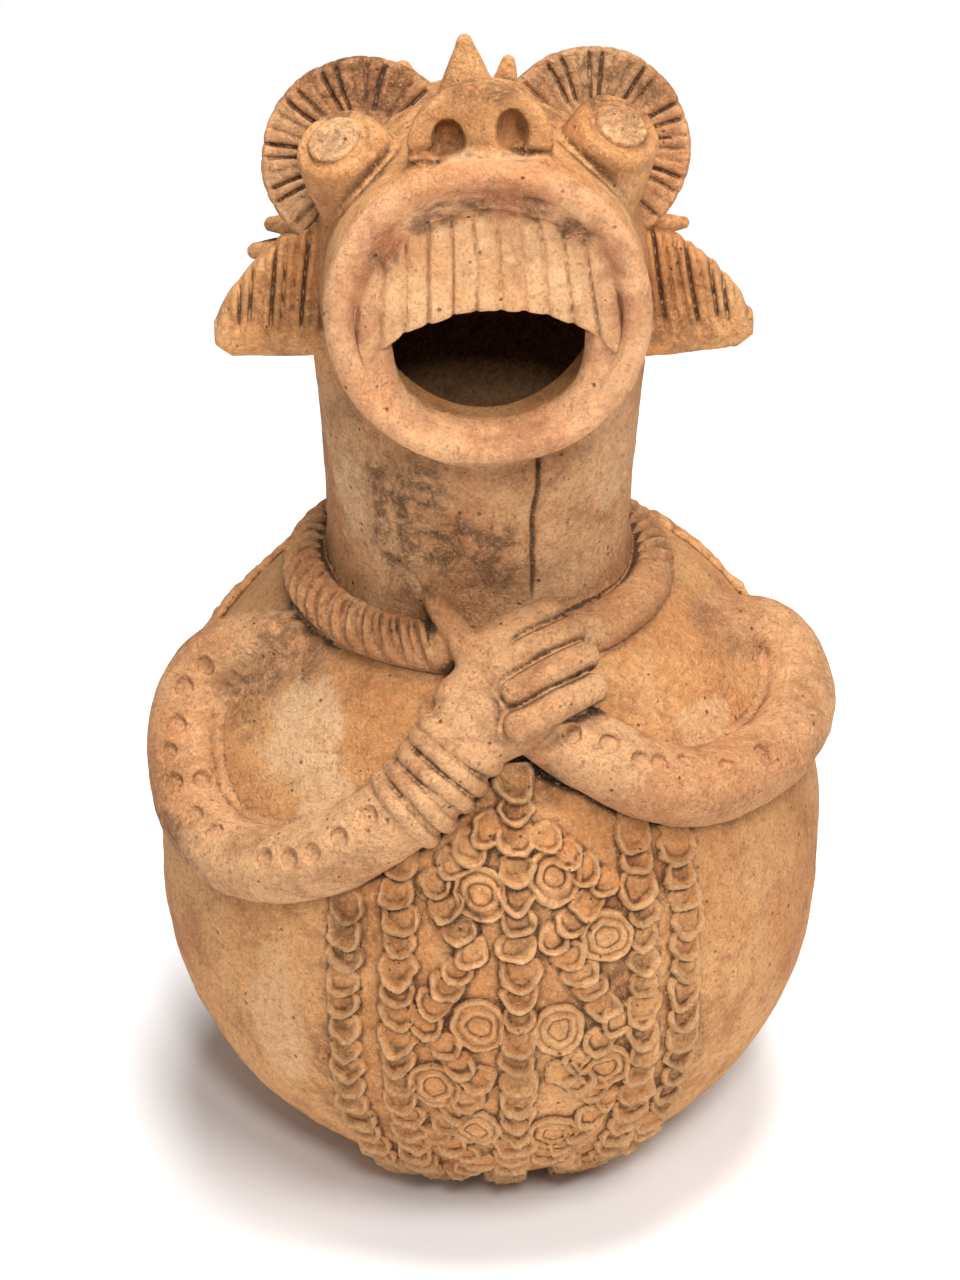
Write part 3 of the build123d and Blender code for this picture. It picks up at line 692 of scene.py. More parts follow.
# Columns by azimuth and top latitude, zigzags and roundels by azimuth and latitude
COLUMNS = {"centre": (4.8, 39.5), "inner_left": (-15.8, 25), "far_left": (-25.3, 16.5),
           "inner_right": (26.6, 28.5), "far_right": (34.9, 24.5)}
COLUMN_FOOT_LAT = -66
ZIGZAGS = {
    "zigzag_left": [(-0.6, 32.2), (-9.6, 22.5), (-3.4, 11.2), (-10.9, -3.2), (-2, -14.9), (-10.3, -30.4),
                    (-2, -41), (-10, -52)],
    "zigzag_right": [(10, 30.2), (19.8, 21.5), (10.6, 13.2), (21.5, -4.8), (12.6, -14.5), (21.2, -23),
                     (12, -38), (20, -50)],
}
ROUNDELS = {"roundels_left": [(-1.9, 21.3), (-2.2, -3.3), (-9.7, -17), (-2.4, -28.2)],
            "roundels_right": [(11, 23.6), (19.7, 12), (11.6, -4.8), (19.8, -14.6), (12, -30.6)]}
REACH, STRIP_REACH = 9.0, 6.2

belly = Relief(PANEL_AZ, PANEL_LAT)
for name, (az, top) in COLUMNS.items():
    node = "pellet_column_" + name
    for lat in arange(top, COLUMN_FOOT_LAT, -PITCH_DEG):
        belly.lay(node, az, lat, STRIP_REACH, strip)
        belly.lay(node, az + RAND.uniform(-0.3, 0.3), lat, REACH, scale(PELLET * 1.06, 0))
for node, corners in ZIGZAGS.items():
    for (a0, l0), (a1, l1) in zip(corners, corners[1:]):
        run = radians(a1 - a0) * BODY_R * cos(radians((l0 + l1) / 2))
        rise = radians(l1 - l0) * BODY_R
        steps = max(2, round(sqrt(run**2 + rise**2) / ZIGZAG_PITCH))
        heading = degrees(atan2(run, -rise)) * 0.75
        for t in arange(steps) / steps:
            az, lat = a0 + (a1 - a0) * t, l0 + (l1 - l0) * t
            belly.lay(node, az, lat, REACH, scale(PELLET * 0.95, heading))
            belly.lay(node, az, lat, REACH, bed)
for node, places in ROUNDELS.items():
    for az, lat in places:
        belly.lay(node, az, lat, REACH, roundel)
belly_wear_and_painted_light = belly.wear_and_painted_light()


def skin_dirt_and_shade(az, lat, p):
    """Dirt and painted shade on the skin between the belly's scales, and painted shadow along the edges of
    what is luted on.
    """
    i, j = (clip(np.round((at - line[0]) / STEP_DEG).astype(int), 0, len(line) - 1)
            for at, line in ((lat, belly.lat), (az, belly.az)))
    on_panel = (az > belly.az[0]) & (az < belly.az[-1]) & (lat > belly.lat[0]) & (lat < belly.lat[-1])
    dirt_with_shade = np.where(on_panel, maximum(belly_wear_and_painted_light[i, j], 0) * 0.65, 0)
    crevice = zeros(len(p))
    close = abs(lat - 40) < 34
    # Painted shadow along the arms' lower edges
    crevice[close] = bump(clip(arm_edges(p[close]) - 0.2, 0, None), 1.3)
    return clip(dirt_with_shade + 1.3 * crevice, 0, 1.3)


# Arms, collar, bracelets and hand

ARM_R, ARM_SWELL = 10.5, 0.025
# Arms along azimuth, latitude and lift off the skin, from the shoulder to the wrist
LEFT_ARM = [(-58, 57, -11), (-67, 52, -2), (-74, 45.5, 2.5), (-77, 37.5, 4), (-71, 29, 4.7), (-60.5, 21.7, 5),
            (-49.5, 18.7, 5), (-39, 20, 5), (-29, 24.5, 5), (-20.5, 30.5, 5), (-13, 37, 5), (-8, 43, 5),
            (-4, 48, 7)]
RIGHT_ARM = [(76, 53, -14), (83.5, 49, -8), (89, 45, -3), (91.5, 40.5, 1.3), (88, 35.5, 3.8), (77, 31.5, 5),
             (63, 30.5, 5), (50, 31.2, 5), (38.5, 33.2, 5), (29, 37.5, 5), (21.5, 42.5, 5), (12, 48, -2)]
left_line, right_line = (curve([on_skin(*place) for place in way], 60) for way in (LEFT_ARM, RIGHT_ARM))
left_length = norm(np.diff(left_line, axis=0)).sum()
# Dents stamped into the arms: how far along, and the angle round the arm from straight off the body
LEFT_DENTS = [(0.187, -50), (0.259, -45), (0.32, -46), (0.363, -32), (0.414, -33), (0.425, -80), (0.482, -39),
              (0.534, -43), (0.646, -18), (0.687, -11), (0.723, -8), (0.766, -12), (0.815, -16), (0.855, -9)]
RIGHT_DENTS = [(0.931, -5), (0.89, 5), (0.85, 4), (0.813, 14), (0.763, 30), (0.68, 22), (0.598, 26)]
# Each arm's line, its dents and the middle of its loop
ARMS = {"left_arm": (left_line, LEFT_DENTS, on_skin(-44, 41)),
        "right_arm": (right_line, RIGHT_DENTS, on_skin(63, 46))}


def station(line, at):
    """A point of the line, its direction there, and the direction straight off the body."""
    k = at * (len(line) - 1)
    i = min(int(k), len(line) - 2)
    c = line[i] + (line[i + 1] - line[i]) * (k - i)
    t = unit(line[i + 1] - line[i])
    n = array([c[0], c[1], c[2] - clip(c[2], BODY_CZ, BODY_CZ + BELT_H)])
    return c, t, unit(n - t * (n @ t))


def stamped(p, d, line, dents):
    for at, angle in dents:
        c, t, n = station(line, at)
        axis = n * cos(radians(angle)) + np.cross(t, n) * sin(radians(angle))
        h, rho = round_of(p, c, axis)
        d = d + (h > 4) * (1.45 * ramp(-rho, -2.9, -2.4) - 0.3 * bump(rho - 3.3, 0.5))
    return d


def arm(p, line, dents, loop):
    """An arm's field, how widely it is smeared into the body, and where its lower edge stands off it."""
    d, at = line_distance(p, line)
    c = stack([interp(at, linspace(0, 1, len(line)), line[:, k]) for k in range(3)], -1)
    v, w = p - c, loop - c
    inner = (v * w).sum(-1) / maximum(norm(v) * norm(w), 1e-6)
    smear = 1.1 + 2.6 * ramp(inner, 0.05, 0.6) + 5 * ramp(-at, -0.2, -0.05)
    under = ramp(-inner, 0.1, 0.5) * ramp(at, 0.2, 0.35)
    r = ARM_R * (0.78 + 0.22 * ramp(at, 0.03, 0.38) + ARM_SWELL * np.sin(at * 9))
    return stamped(p, d - r, line, dents), smear, under


def arm_edges(p):
    """How far the sharp lower edges of the arms are from points of the body's skin."""
    far = full(len(p), 50.0)
    for line, _, loop in ARMS.values():
        d, smear, _ = arm(p, line, [], loop)
        far = minimum(far, d + 3 * (smear - 1.1))
    return far


BRACELETS, BRACELET_PITCH, BRACELET_R, BRACELET_WIRE_R = 5, 5.5, 9.9, 2.8


def bracelets(p):
    d = full(len(p), 50.0)
    for k in range(BRACELETS):
        c, t, _ = station(left_line, 1 - BRACELET_PITCH * (k + 1) / left_length)
        h, rho = round_of(p, c, t)
        h = h + 0.8 * noise(p, 14, 60 + k)
        d = minimum(d, hypot(h, rho - BRACELET_R) - BRACELET_WIRE_R)
    return d


COLLAR_C = array([NECK_X, -4.0, NECK_SEAT_Z + 1.0])
COLLAR_R, COIL_R, COLLAR_ENDS = 46.0, 6.4, (-9.0, 27.0)
NOTCH_PITCH, WRINKLE_PITCH = 5.3, 3.4
COLLAR_RINGS = ((31, 40), (38, 52), (45, 60))


def around_collar(angle, up=0):
    """Out of the collar's middle, at an angle round it and an angle up."""
    flat = cos(radians(up))
    return array([sin(radians(angle)) * flat, -cos(radians(angle)) * flat, sin(radians(up))])


def collar(p):
    """A coil round the neck's foot: notched left and behind, wrinkled on the right, open at the chest."""
    v = p - COLLAR_C
    a = np.degrees(np.arctan2(v[:, 0], -v[:, 1]))
    out = hypot(v[:, 0], v[:, 1]) - COLLAR_R
    d = hypot(out, v[:, 2]) - COIL_R
    ends = [COLLAR_C + COLLAR_R * around_collar(e) for e in COLLAR_ENDS]
    gap = (a > COLLAR_ENDS[0]) & (a < COLLAR_ENDS[1])
    d = np.where(gap, minimum(*[norm(p - e) for e in ends]) - COIL_R, d)
    t = (np.degrees(np.arctan2(v[:, 2], out)) - 48) * radians(COIL_R)
    s = np.radians(a) * COLLAR_R + 0.42 * t
    nick = s - NOTCH_PITCH * np.round(s / NOTCH_PITCH)
    lens = clip(1 - (nick / 2.0) ** 2 - (t / 8.5) ** 2, 0, 1)
    notched = clip(ramp(-a, 12, 16) + ramp(a, 75, 95), 0, 1)
    d = d + 2.8 * np.sqrt(lens) * notched
    fold = s - WRINKLE_PITCH * np.round(s / WRINKLE_PITCH)
    d = d + 0.3 * (bump(fold, 0.5) * ramp(a, 34, 42) * ramp(-a, -85, -70))
    for e, up in COLLAR_RINGS:
        h, rho = round_of(p, COLLAR_C + COLLAR_R * around_collar(e), around_collar(e, up))
        d = d + (h > 2) * (0.5 * bump(rho - 2.8, 0.45))
    return d


# Fingers from root to tip as azimuth and latitude, with their lift off the skin and radius
FINGERS = [((-0.7, 60.2), (18, 65.2), 11, 4.5), ((1.7, 55.8), (21.8, 61), 12, 4.3),
           ((5.6, 52), (22.6, 56.4), 13.5, 4.2), ((5.4, 47), (22.2, 51.4), 14, 4.2)]
PALM_PLACE, PALM_LIFT, PALM_SIZE, PALM_EDGE_R = (0.8, 51), 6.5, array([25, 28, 13]), 5.5
THUMB_ROOT, THUMB_TIP = (-4, 58, 10), (-19.5, 67.4, 11)


def palm(p):
    c, n = on_skin(*PALM_PLACE, PALM_LIFT), skin_normal(*PALM_PLACE)
    along = on_skin(*FINGERS[2][1], 14) - on_skin(*FINGERS[2][0], 14)
    x = unit(along - n * (along @ n))
    q = (p - c) @ stack([x, np.cross(n, x), n], -1)
    narrow = 1 + 0.12 * clip(-q[:, 0] / (PALM_SIZE[0] / 2), -1, 1)
    q[:, 1] = q[:, 1] * narrow
    e = abs(q) - (PALM_SIZE / 2 - PALM_EDGE_R)
    return norm(maximum(e, 0)) + minimum(e.max(1), 0) - PALM_EDGE_R


def fingers(p):
    d = full(len(p), 50.0)
    for root, tip, lift, r in FINGERS:
        a, b = on_skin(*root, lift), on_skin(*tip, lift)
        bend = skin_normal(*tip) * 1.2
        mid = (a + b) / 2 + bend
        one = minimum(rod(p, a, mid, r, r), rod(p, mid, b - bend, r, r * 0.96))
        d = smin(d, one, 0.9)
    return d


def thumb(p):
    return rod(p, on_skin(*THUMB_ROOT), on_skin(*THUMB_TIP), 4.6, 2.4)


LIMBS = {**{name: lambda p, way=way: arm(p, *way)[0] for name, way in ARMS.items()}, "necklace_coil": collar,
         "wrist_bracelets": bracelets, "hand_palm": palm, "hand_fingers": fingers, "hand_thumb": thumb}

# The neck's radius at shares of its height
NECK_UPS = [-0.2, 0, 0.1, 0.23, 0.45, 0.75, 1, 1.3]
NECK_RADII = [45, 42.3, 40.8, 40.0, 40.6, 42.3, 43.6, HEAD_R]


def upright(p, squash):
    """Distance from the neck's middle line, and over the head's middle as under a low dome."""
    over = clip(p[:, 2] - HEAD_C[2], 0, None) * squash
    return np.sqrt(hypot(p[:, 0] - NECK_X, p[:, 1]) ** 2 + over**2)


def neck_form(p):
    """Neck and head as one upright form: a waisted tube that widens into a low dome."""
    return upright(p, HEAD_R / DOME_H) - interp((p[:, 2] - NECK_SEAT_Z) / NECK_H, NECK_UPS, NECK_RADII)


def carried(p):
    return minimum(body_form(p), neck_form(p) - hand_marks(p))


def limbs(p):
    """Arms, collar and hand over the body and the neck's foot, each run into the next."""
    marks = hand_marks(p) * 0.8
    ground = smin(body_form(p), neck_form(p) - hand_marks(p), 1.5) + 0.12
    arms, near = ground, minimum(collar(p), fingers(p))
    gap = 2.6 * bump(ground - 0.8, 1.7)
    for way in ARMS.values():
        d, smear, under = arm(p, *way)
        arms = minimum(arms, smin(d - marks + gap * under, ground, smear))
        near = minimum(near, d)
    hand = smin(smin(palm(p), fingers(p), 2.2), thumb(p), 2.2)
    d = smin(arms, smin(hand, collar(p), 1.0) - marks, 1.2)
    d = smin(d, bracelets(p) - marks, 0.35)
    return np.where(near > 9, near, d)


def gap_shadow(p, wear_and_painted_light):
    """Painted shadow in the gaps where the arms' lower edges stand off the body."""
    near = zeros(len(p))
    for line, _, loop in ARMS.values():
        d, _, under = arm(p, line, [], loop)
        near = maximum(near, under * bump(clip(carried(p), 0, None), 1.7) * ramp(-d, -3, -0.5))
    return maximum(wear_and_painted_light, 1.3 * near)


# Head

MUZZLE_END, BORE_RADII, THROAT_R = 50.0, [33, 36], 33.0
LIP_R, LIP_Z, LIP_WIRE_R = 37.5, 54.8, 3.9
GUM_R, GUM_Z, GUM_HALF = 31.0, 49.5, 2.5
ARCH_Y, ARCH_R = 1.5, 41.45
TOOTH_PITCH, TEETH_HALF_W, TEETH_H, TEETH_FRONT = 6.0, 35.0, 26.0, 57.4
SNOUT_UP, NOSTRIL_X, NOSTRIL_UP = 41.0, 8.0, 3.6
EYE_AXIS, EYE_RING_R, EYE_DISC_R = (0.37, -0.36, 0.86), 8.0, 7.0
FAN_AXIS, FAN_C = (0.15, -0.88, 0.45), (0.67, -0.14, 0.59)
FAN_R, FAN_GROOVES = 25.8, 38
COMB_PITCH, EAR_FORWARD, EAR_DROPS = 2.7, 13.0, {-1: -3.4, 1: 1.5}
CRACK_AZ = 20.5


def in_head(p):
    """Points in the head's frame: right, back, up."""
    return (p - HEAD_C) @ HEAD_AXES


def in_mouth(p):
    """Points in the mouth's frame: right, up, forward, and how far from its middle line."""
    x, y, z = ((p - HEAD_C) @ MOUTH_AXES).T
    return x, y, z, hypot(x, y)


def skull(p):
    """Neck, dome and muzzle as one form, before anything is luted on."""
    _, _, z, ring = in_mouth(p)
    muzzle = smax(ring - interp(z, [-10, 20, MUZZLE_END], [40, 40.6, 41.0]), z - MUZZLE_END, 2)
    return smin(neck_form(p), maximum(muzzle, -z - 5), 9)


def hollow(p):
    """The cavity from the neck's foot up through the head and out to the mouth."""
    _, _, z, ring = in_mouth(p)
    bore = upright(p, 1.2) - interp(p[:, 2], [NECK_SEAT_Z, NECK_TOP_Z], BORE_RADII)
    throat = maximum(ring - THROAT_R, -z)
    return smin(bore, maximum(throat, z - 47), 4)


def gape(y):
    """The mouth's inner edge: wider at the bottom than at the corners."""
    return 25.2 + 5.4 * ramp(-y, 4, 26)


def lip(p):
    """A rolled ring with a thick inner edge below, and above a slope that runs in to the gum."""
    _, y, z, ring = in_mouth(p)
    low = ramp(-y, -4, 10)
    ridge = hypot(ring - LIP_R - 0.5 * noise(p, 17, 44), z - LIP_Z) - LIP_WIRE_R
    inner = hypot(ring - gape(y) - 4.3, (z - 47.9 - 1.8 * low) * 0.9) - 4.2
    slope = smax(maximum(27.5 - ring, ring - 37), z - 53 - 0.45 * clip(ring - 28, 0, 9), 1.0)
    slope = smax(maximum(slope, 46 - z), 3 - y, 4)
    return smin(smin(ridge, inner, 2.5), slope, 1.5)


def in_arch(x, y):
    """Above 0 under the arch that the gum and the teeth end on."""
    return ARCH_R - hypot(x, y - ARCH_Y + ARCH_R)


def gum(p):
    x, y, z, ring = in_mouth(p)
    d = smax(ring - GUM_R, in_arch(x, y), 1.0)
    return smax(d, abs(z - GUM_Z) - GUM_HALF, 1.0)


def teeth(p):
    """A row of leaning strips with uneven tops and faces, parted by grooves."""
    x, y, z, _ = in_mouth(p)
    lean = x + 0.004 * x * y + 0.5 * noise(p, 15, 51)
    k = np.floor(lean / TOOTH_PITCH + 0.5)
    gap = TOOTH_PITCH / 2 - abs(lean - TOOTH_PITCH * k)
    high = clip(y, 0, None) / (TEETH_H + 0.7 * np.sin(k * 2.1 + 1))
    top = (hypot(x / TEETH_HALF_W, high) - 1) * 29
    d = smax(top, in_arch(x, y) + 0.5 * noise(p, 6, 52), 2.8)
    front = TEETH_FRONT + 0.35 * np.sin(k * 2.7 + 0.8) - 0.12 * clip(y - 2, 0, None)
    front = front - 1.1 * bump(gap, 0.6 + 0.2 * np.sin(k))
    front = front - 0.0022 * x**2 - 0.5 * ramp(y, 4, 0) * bump(gap, 1.2)
    return smax(smax(d, z - front, 1.6), GUM_Z - z, 0.8)


def snout(p):
    """A short flaring drum with two nostrils, and three nicks in its edge."""
    x, y, z, _ = in_mouth(p)
    y = y - SNOUT_UP
    rho = hypot(x, y * (1 + 0.05 * ramp(y, 0, 18)))
    d = smax(rho - interp(z, [16, 34, 42, 49], [8.0, 14.5, 17.8, 18.6]), abs(z - 33) - 16, 1.7)
    for _, s in SIDES:
        n = stack([(x - s * NOSTRIL_X) / 4.1, (y - NOSTRIL_UP - 0.8 * s) / 6.4, (z - 49.0) / 8.5], -1)
        d = smax(d, -(norm(n) - 1) * 4.0, 0.9)
    a = np.degrees(np.arctan2(x, y))
    for at in (-99, -88, 94):
        d = d + 0.9 * bump((a - at) * 0.32, 0.8) * ramp(z, 42, 47)
    return d


def eye_parts(p, side):
    """An eye drum, and the disc on its end inside an incised ring."""
    h, rho = round_of(in_head(p), mirrored(EYE_END, side) * HEAD_R, unit(mirrored(EYE_AXIS, side)))
    rho = rho * (1 + 0.03 * noise(p, 9, 61))
    boss = smax(rho - interp(h, [-28, -10, -2], [14.5, 12.8, 11.4]), abs(h + 14) - 14, 3.2)
    boss = boss + 0.9 * bump(rho - EYE_RING_R, 0.7) * (h > -3)
    wrinkle = bump(noise(p, 5, 62) + 0.5 * noise(p, 2, 63), 0.06) * (h > -1)
    disc = smax(rho - EYE_DISC_R, abs(h - 0.1) - 1.1 + 0.06 * rho - 0.3 + 0.5 * wrinkle, 0.8)
    return boss, disc


def eye_disc(p, side):
    return eye_parts(p, side)[1]


def fan_plate(p, side):
    """A thin dished disc, cut by grooves that run out from its middle and over its rim."""
    q = in_head(p)
    axis, c = unit(mirrored(FAN_AXIS, side)), mirrored(FAN_C, side) * HEAD_R
    h, rho = round_of(q, c, axis)
    across = unit(np.cross(axis, [0, 0, 1]))
    a = np.arctan2((q - c) @ np.cross(across, axis), (q - c) @ across) + 0.05 * noise(p, 12, 70 + side)
    k = a * FAN_GROOVES / (2 * pi)
    away = abs(k - np.round(k)) * 2 * pi / FAN_GROOVES * rho
    deep = 0.75 + 0.45 * np.sin(np.round(k) * 1.9)
    cut = 1.7 * deep * bump(away, 0.58) * ramp(rho, 9, 14) * (1 - 0.86 * ramp(rho, 23, 25.3))
    thick = abs(h) - 3.0 + 1.6 * bump(rho, 17) * (h > 0)
    return smax(rho - FAN_R - 0.3 * noise(p, 7, 73), thick, 1.5) + cut


EAR = array([(28, 10), (40, 9.3), (51, 4.5), (59.5, -3.5), (66, -12), (70, -20), (70, -25), (65.5, -28.3),
             (50, -29), (28, -29)], float)


def outline(x, y, corners):
    """Distance to a closed outline, below 0 inside it."""
    d = full(x.shape, 1e9)
    inside = zeros(x.shape, bool)
    for (ax, ay), (bx, by) in zip(corners, np.roll(corners, -1, axis=0)):
        t = clip(((x - ax) * (bx - ax) + (y - ay) * (by - ay)) / ((bx - ax) ** 2 + (by - ay) ** 2), 0, 1)
        d = minimum(d, hypot(x - ax - t * (bx - ax), y - ay - t * (by - ay)))
        level = np.where(by == ay, 1e-9, by - ay)
        inside ^= ((ay > y) != (by > y)) & (x < (bx - ax) * (y - ay) / level + ax)
    return np.where(inside, -d, d)


def ear_plate(p, side):
    """A leaf with a full face: combed from its upper edge down to a smooth roll along the bottom."""
    q = in_head(p)
    x, z, fwd = q[:, 0] * side, q[:, 2] + EAR_DROPS[side], -q[:, 1] - EAR_FORWARD
    fwd = fwd + 0.06 * (x - 44)
    lean = x + 0.12 * (z + 10) + 0.8 * noise(p, 11, 80 + side)
    k = lean / COMB_PITCH
    comb = bump((k - np.round(k)) * COMB_PITCH, 0.62) * (0.75 + 0.35 * np.sin(np.round(k) * 2.3))
    high = ramp(z, -23, -17)
    d2 = outline(x, z, EAR) + 0.7 * comb * ramp(z + 0.75 * (x - 28), 4, 14) * (0.6 + 0.4 * side)
    front = 4.2 - 1.2 * high * bump(z + 9, 9) - 2.1 * comb * high
    return smax(smax(d2, fwd - front, 3.6), -fwd - 4, 2.5)


# Spikes by the way they point from the head's middle, how far they stand out and their radius
SPIKES = {
    "crest_spike_centre": [((-2, -1, 55), 12.5, 10.5)],
    "crest_spike_left": [((-18, 18, 41), 5.0, 5.6)],
    "crest_spike_right": [((10, 18, 41), 3.0, 5.6)],
    "mane_spikes_left": [((-56, 19, -3), 15, 6.2), ((-61, 19, -11), 20, 5.7)],
    "mane_spikes_right": [((56, 19, -9), 16, 6.2)],
}
SPIKE_TIP_R, SPIKE_ROOT = 2.0, 14.0


def spikes_of(node):
    def field(p):
        q = in_head(p)
        d = full(len(p), 60.0)
        for aim, reach, r in SPIKES[node]:
            way = unit(aim)
            root, tip = way * (HEAD_R - SPIKE_ROOT), way * (HEAD_R + reach - SPIKE_TIP_R)
            d = minimum(d, rod(q, root, tip, r * 1.12, SPIKE_TIP_R))
        return d
    return field


def crack(p):
    """A drying crack that runs down the neck under the mouth."""
    a = np.radians(CRACK_AZ + 1.6 * noise(p * [0, 0, 1], 9, 90) + (p[:, 2] - 200) * 0.02)
    off = (p[:, 0] - NECK_X) * np.cos(a) + p[:, 1] * np.sin(a)
    return bump(off, 0.75) * ramp(p[:, 2], 178, 190) * ramp(-p[:, 2], -250, -235) * (p[:, 1] < 0)


def below_head(p):
    return np.where(p[:, 2] < NECK_TOP_Z, -99.0, 99.0)


HEAD_PARTS = {"head_shell": skull, "neck_tube": below_head, "mouth_lip": lip, "snout": snout,
              **{name + "_eye_boss": lambda p, s=side: eye_parts(p, s)[0] for name, side in SIDES},
              **{node: spikes_of(node) for node in SPIKES}}


def head(p):
    """The hollow head with lip, snout, eyes and spikes run into it."""
    d = smin(skull(p) + 2.2 * crack(p), lip(p), 3.0)
    d = smin(d, snout(p), 2.4)
    for _, side in SIDES:
        d = smin(d, eye_parts(p, side)[0], 1.8)
    for node in SPIKES:
        d = smin(d, spikes_of(node)(p), 2.0)
    _, y, z, ring = in_mouth(p)
    opening = maximum(ring - gape(y), 40 - z)
    d = smax(d - hand_marks(p) * 0.8, -smin(hollow(p), opening, 2.0), 1.2)
    return maximum(d, NECK_SEAT_Z - 4 - p[:, 2])


def throat_shade(p, wear_and_painted_light):
    """Painted shade blackens the hollow behind the mouth, most at the top, and painted shade fills the crack.
    """
    _, y, z, _ = in_mouth(p)
    inside = ramp(-abs(hollow(p)), -4, -1.5) * ramp(-z, -46, -38)
    # Painted shade, darkest at the top of the throat
    darkening = 1.25 * inside * ramp(y, -24, -2)
    return maximum(wear_and_painted_light, maximum(darkening, 1.3 * crack(p) * bump(neck_form(p), 3)))


# The pieces: body and belly, the rows of pellets over the shoulders, the limbs and the head

body_half("body_bowl", linspace(FOOT_LAT, SEAM_LAT, int(150 / COARSE)))
body_half("body_shoulder", linspace(SEAM_LAT, TOP_LAT, int(170 / COARSE)))
belly.mould()

GARLAND_TOP, GARLAND_RUN = (137, 58.8), (29, 25.5)
GARLAND_PELLETS, GARLAND_PELLET, GARLAND_REACH = 9, 12, 11
for name, side in SIDES:
    row = Relief(sorted((side * 99, side * 150)), (26, 64))
    for t in linspace(0, 1, GARLAND_PELLETS):
        az, lat = side * (GARLAND_TOP[0] - GARLAND_RUN[0] * t), GARLAND_TOP[1] - GARLAND_RUN[1] * t
        row.lay("shoulder_garland_" + name, az, lat, GARLAND_REACH, pellet(GARLAND_PELLET))
    row.mould()

mould(limbs, LIMBS, carried, (-100, -112, 92), (102, 52, 200), LIMB_STEP, gap_shadow)
mould(head, HEAD_PARTS, None, (-72, -72, NECK_SEAT_Z - 5), (68, 52, 338), HEAD_STEP, throat_shade)
# Pieces of one part each: field, the box that it lies in, mesh size, and dirt with painted shade
single = [
    ("upper_teeth", handled(teeth, 0.7), (-42, -64, 252), (38, -44, 306), TOOTH_STEP, with_dirt_and_shade(0.4)),
    ("upper_gum", handled(gum, 0.5), (-38, -60, 252), (34, -40, 306), GUM_STEP, None),
]
for name, side in SIDES:
    for kind, field, hands, inner, outer, lo, hi, step, *dirt_with_shade in (
        ("fan", fan_plate, 0.6, side * 2 - 4, side * 66, (-36, 266), (30, 328), PLATE_STEP, 0.45, 0.3),
        ("leaf_ear", ear_plate, 0.6, side * 20 - 3, side * 76, (-26, 234), (4, 288), PLATE_STEP, 0.7),
        ("eye_disc", eye_disc, 0.3, side * 18 - 3, side * 52, (-46, 296), (-8, 326), DISC_STEP, 0.5, 0.3),
    ):
        x0, x1 = sorted((inner, outer))
        form = handled(field, hands, side)
        single.append((name + "_" + kind, form, (x0, *lo), (x1, *hi), step, with_dirt_and_shade(*dirt_with_shade)))
for node, form, lo, hi, step, dirt_with_shade in single:
    mould(form, {node: form}, None, lo, hi, step, dirt_with_shade)

# Studio: a pale floor, a white backdrop for the camera and soft lamps

FLOOR_SIZE, SHADOW_REACH, WHITE_FROM = 12, 0.3, 0.8
SKY_LIGHT, SKY_SEEN = 0.15, 0.9


def studio_white(name, shade):
    """Matt white board: even and dull, so only a soft shadow shows on it, and white further off."""
    mat = bpy.data.materials.new(name)
    mat.use_nodes = True
    tree = mat.node_tree
    shader = tree.nodes["Principled BSDF"]
    shader.inputs["Base Color"].default_value = hex_rgb(shade)
    shader.inputs["Roughness"].default_value = 1.0
    shader.inputs["Specular IOR Level"].default_value = 0.0
    place = add(tree, "TexCoord", output="Object")
    away = add(tree, "VectorMath", {0: place}, {"operation": "LENGTH"}, 1)
    far = add(tree, "MapRange", {0: away, 1: SHADOW_REACH, 2: WHITE_FROM}, SMOOTH)
    seen_far = add(tree, "Math", {0: far, 1: add(tree, "LightPath", output="Is Camera Ray")}, TIMES)
    glow = add(tree, "Emission", {"Strength": 1.0})
    both = add(tree, "MixShader", {0: seen_far, 1: shader.outputs[0], 2: glow})
    tree.links.new(both, tree.nodes["Material Output"].inputs["Surface"])
    return mat


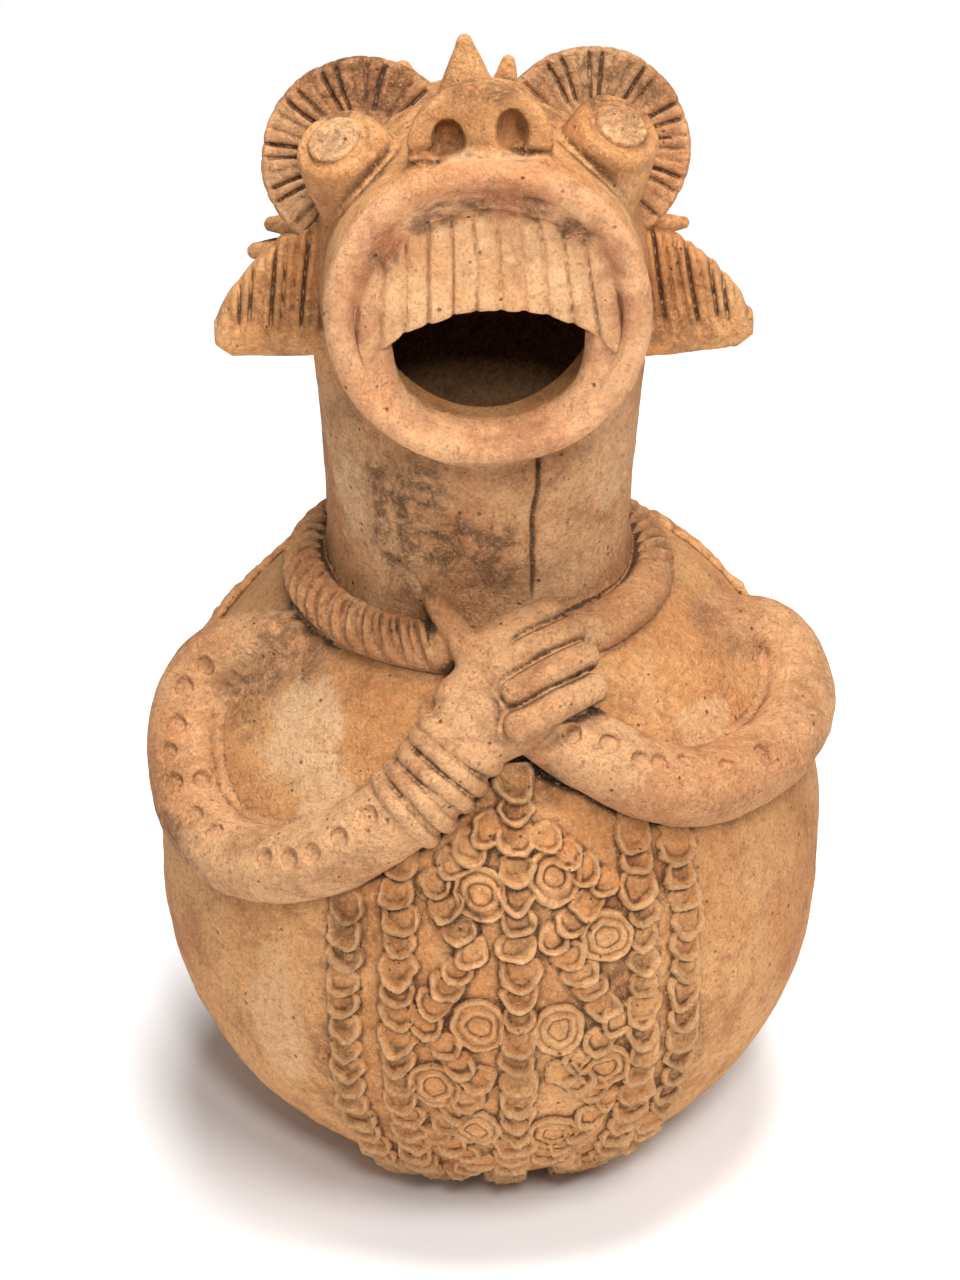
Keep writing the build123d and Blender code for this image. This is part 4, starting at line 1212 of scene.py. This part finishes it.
bpy.ops.mesh.primitive_plane_add(size=FLOOR_SIZE, location=(0, 0, 0))
floor = bpy.context.object
floor.name = "floor"
floor.data.materials.append(studio_white("studio_board_white", "#fafafa"))

world = bpy.data.worlds.new("studio")
bpy.context.scene.world = world
world.use_nodes = True
sky = world.node_tree.nodes["Background"]
sky.inputs["Color"].default_value = (1, 1, 1, 1)
camera_ray = add(world.node_tree, "LightPath", output="Is Camera Ray")
seen = add(world.node_tree, "Math", {0: camera_ray, 1: SKY_SEEN, 2: SKY_LIGHT}, {"operation": "MULTIPLY_ADD"})
world.node_tree.links.new(seen, sky.inputs["Strength"])


def stand(name, data, place, back):
    """A lamp or camera at a place in metres, with its back turned this way."""
    obj = bpy.data.objects.new(name, data)
    bpy.context.collection.objects.link(obj)
    z = unit(back)
    x = unit(np.cross([0, 0, 1], z))
    m = np.eye(4)
    m[:3, :3] = stack([x, np.cross(z, x), z], -1)
    m[:3, 3] = place
    obj.matrix_world = Matrix(m.tolist())
    return obj


# Lamps in metres and watts: place, target, size and power
LAMPS = {
    "key": ((0.6, -1.2, 1.7), (0, 0, 0.17), 0.8, 23),
    "top": ((0.1, -0.1, 1.9), (0, 0, 0.15), 0.8, 38),
    "side": ((-1.3, -1.4, 0.9), (0, 0, 0.19), 0.8, 2.5),
    "front": ((0.1, -1.35, 1.25), (0, 0, 0.24), 0.25, 10),
}
for name, (place, target, size, power) in LAMPS.items():
    light = bpy.data.lights.new(name, "AREA")
    light.shape, light.size, light.energy = "DISK", size, power
    stand(name, light, place, np.subtract(place, target))

# Camera at the photo's angle
CAMERA_PLACE, CAMERA_DOWN = array([-2.764, -1269.634, 881.250]), 30.0
view = bpy.data.cameras.new("camera")
view.lens, view.sensor_width, view.clip_end = 152.54, 36.0, 50
back = (0, -cos(radians(CAMERA_DOWN)), sin(radians(CAMERA_DOWN)))
bpy.context.scene.camera = stand("camera", view, CAMERA_PLACE / 1000, back)
bpy.context.scene.view_settings.view_transform = "Standard"
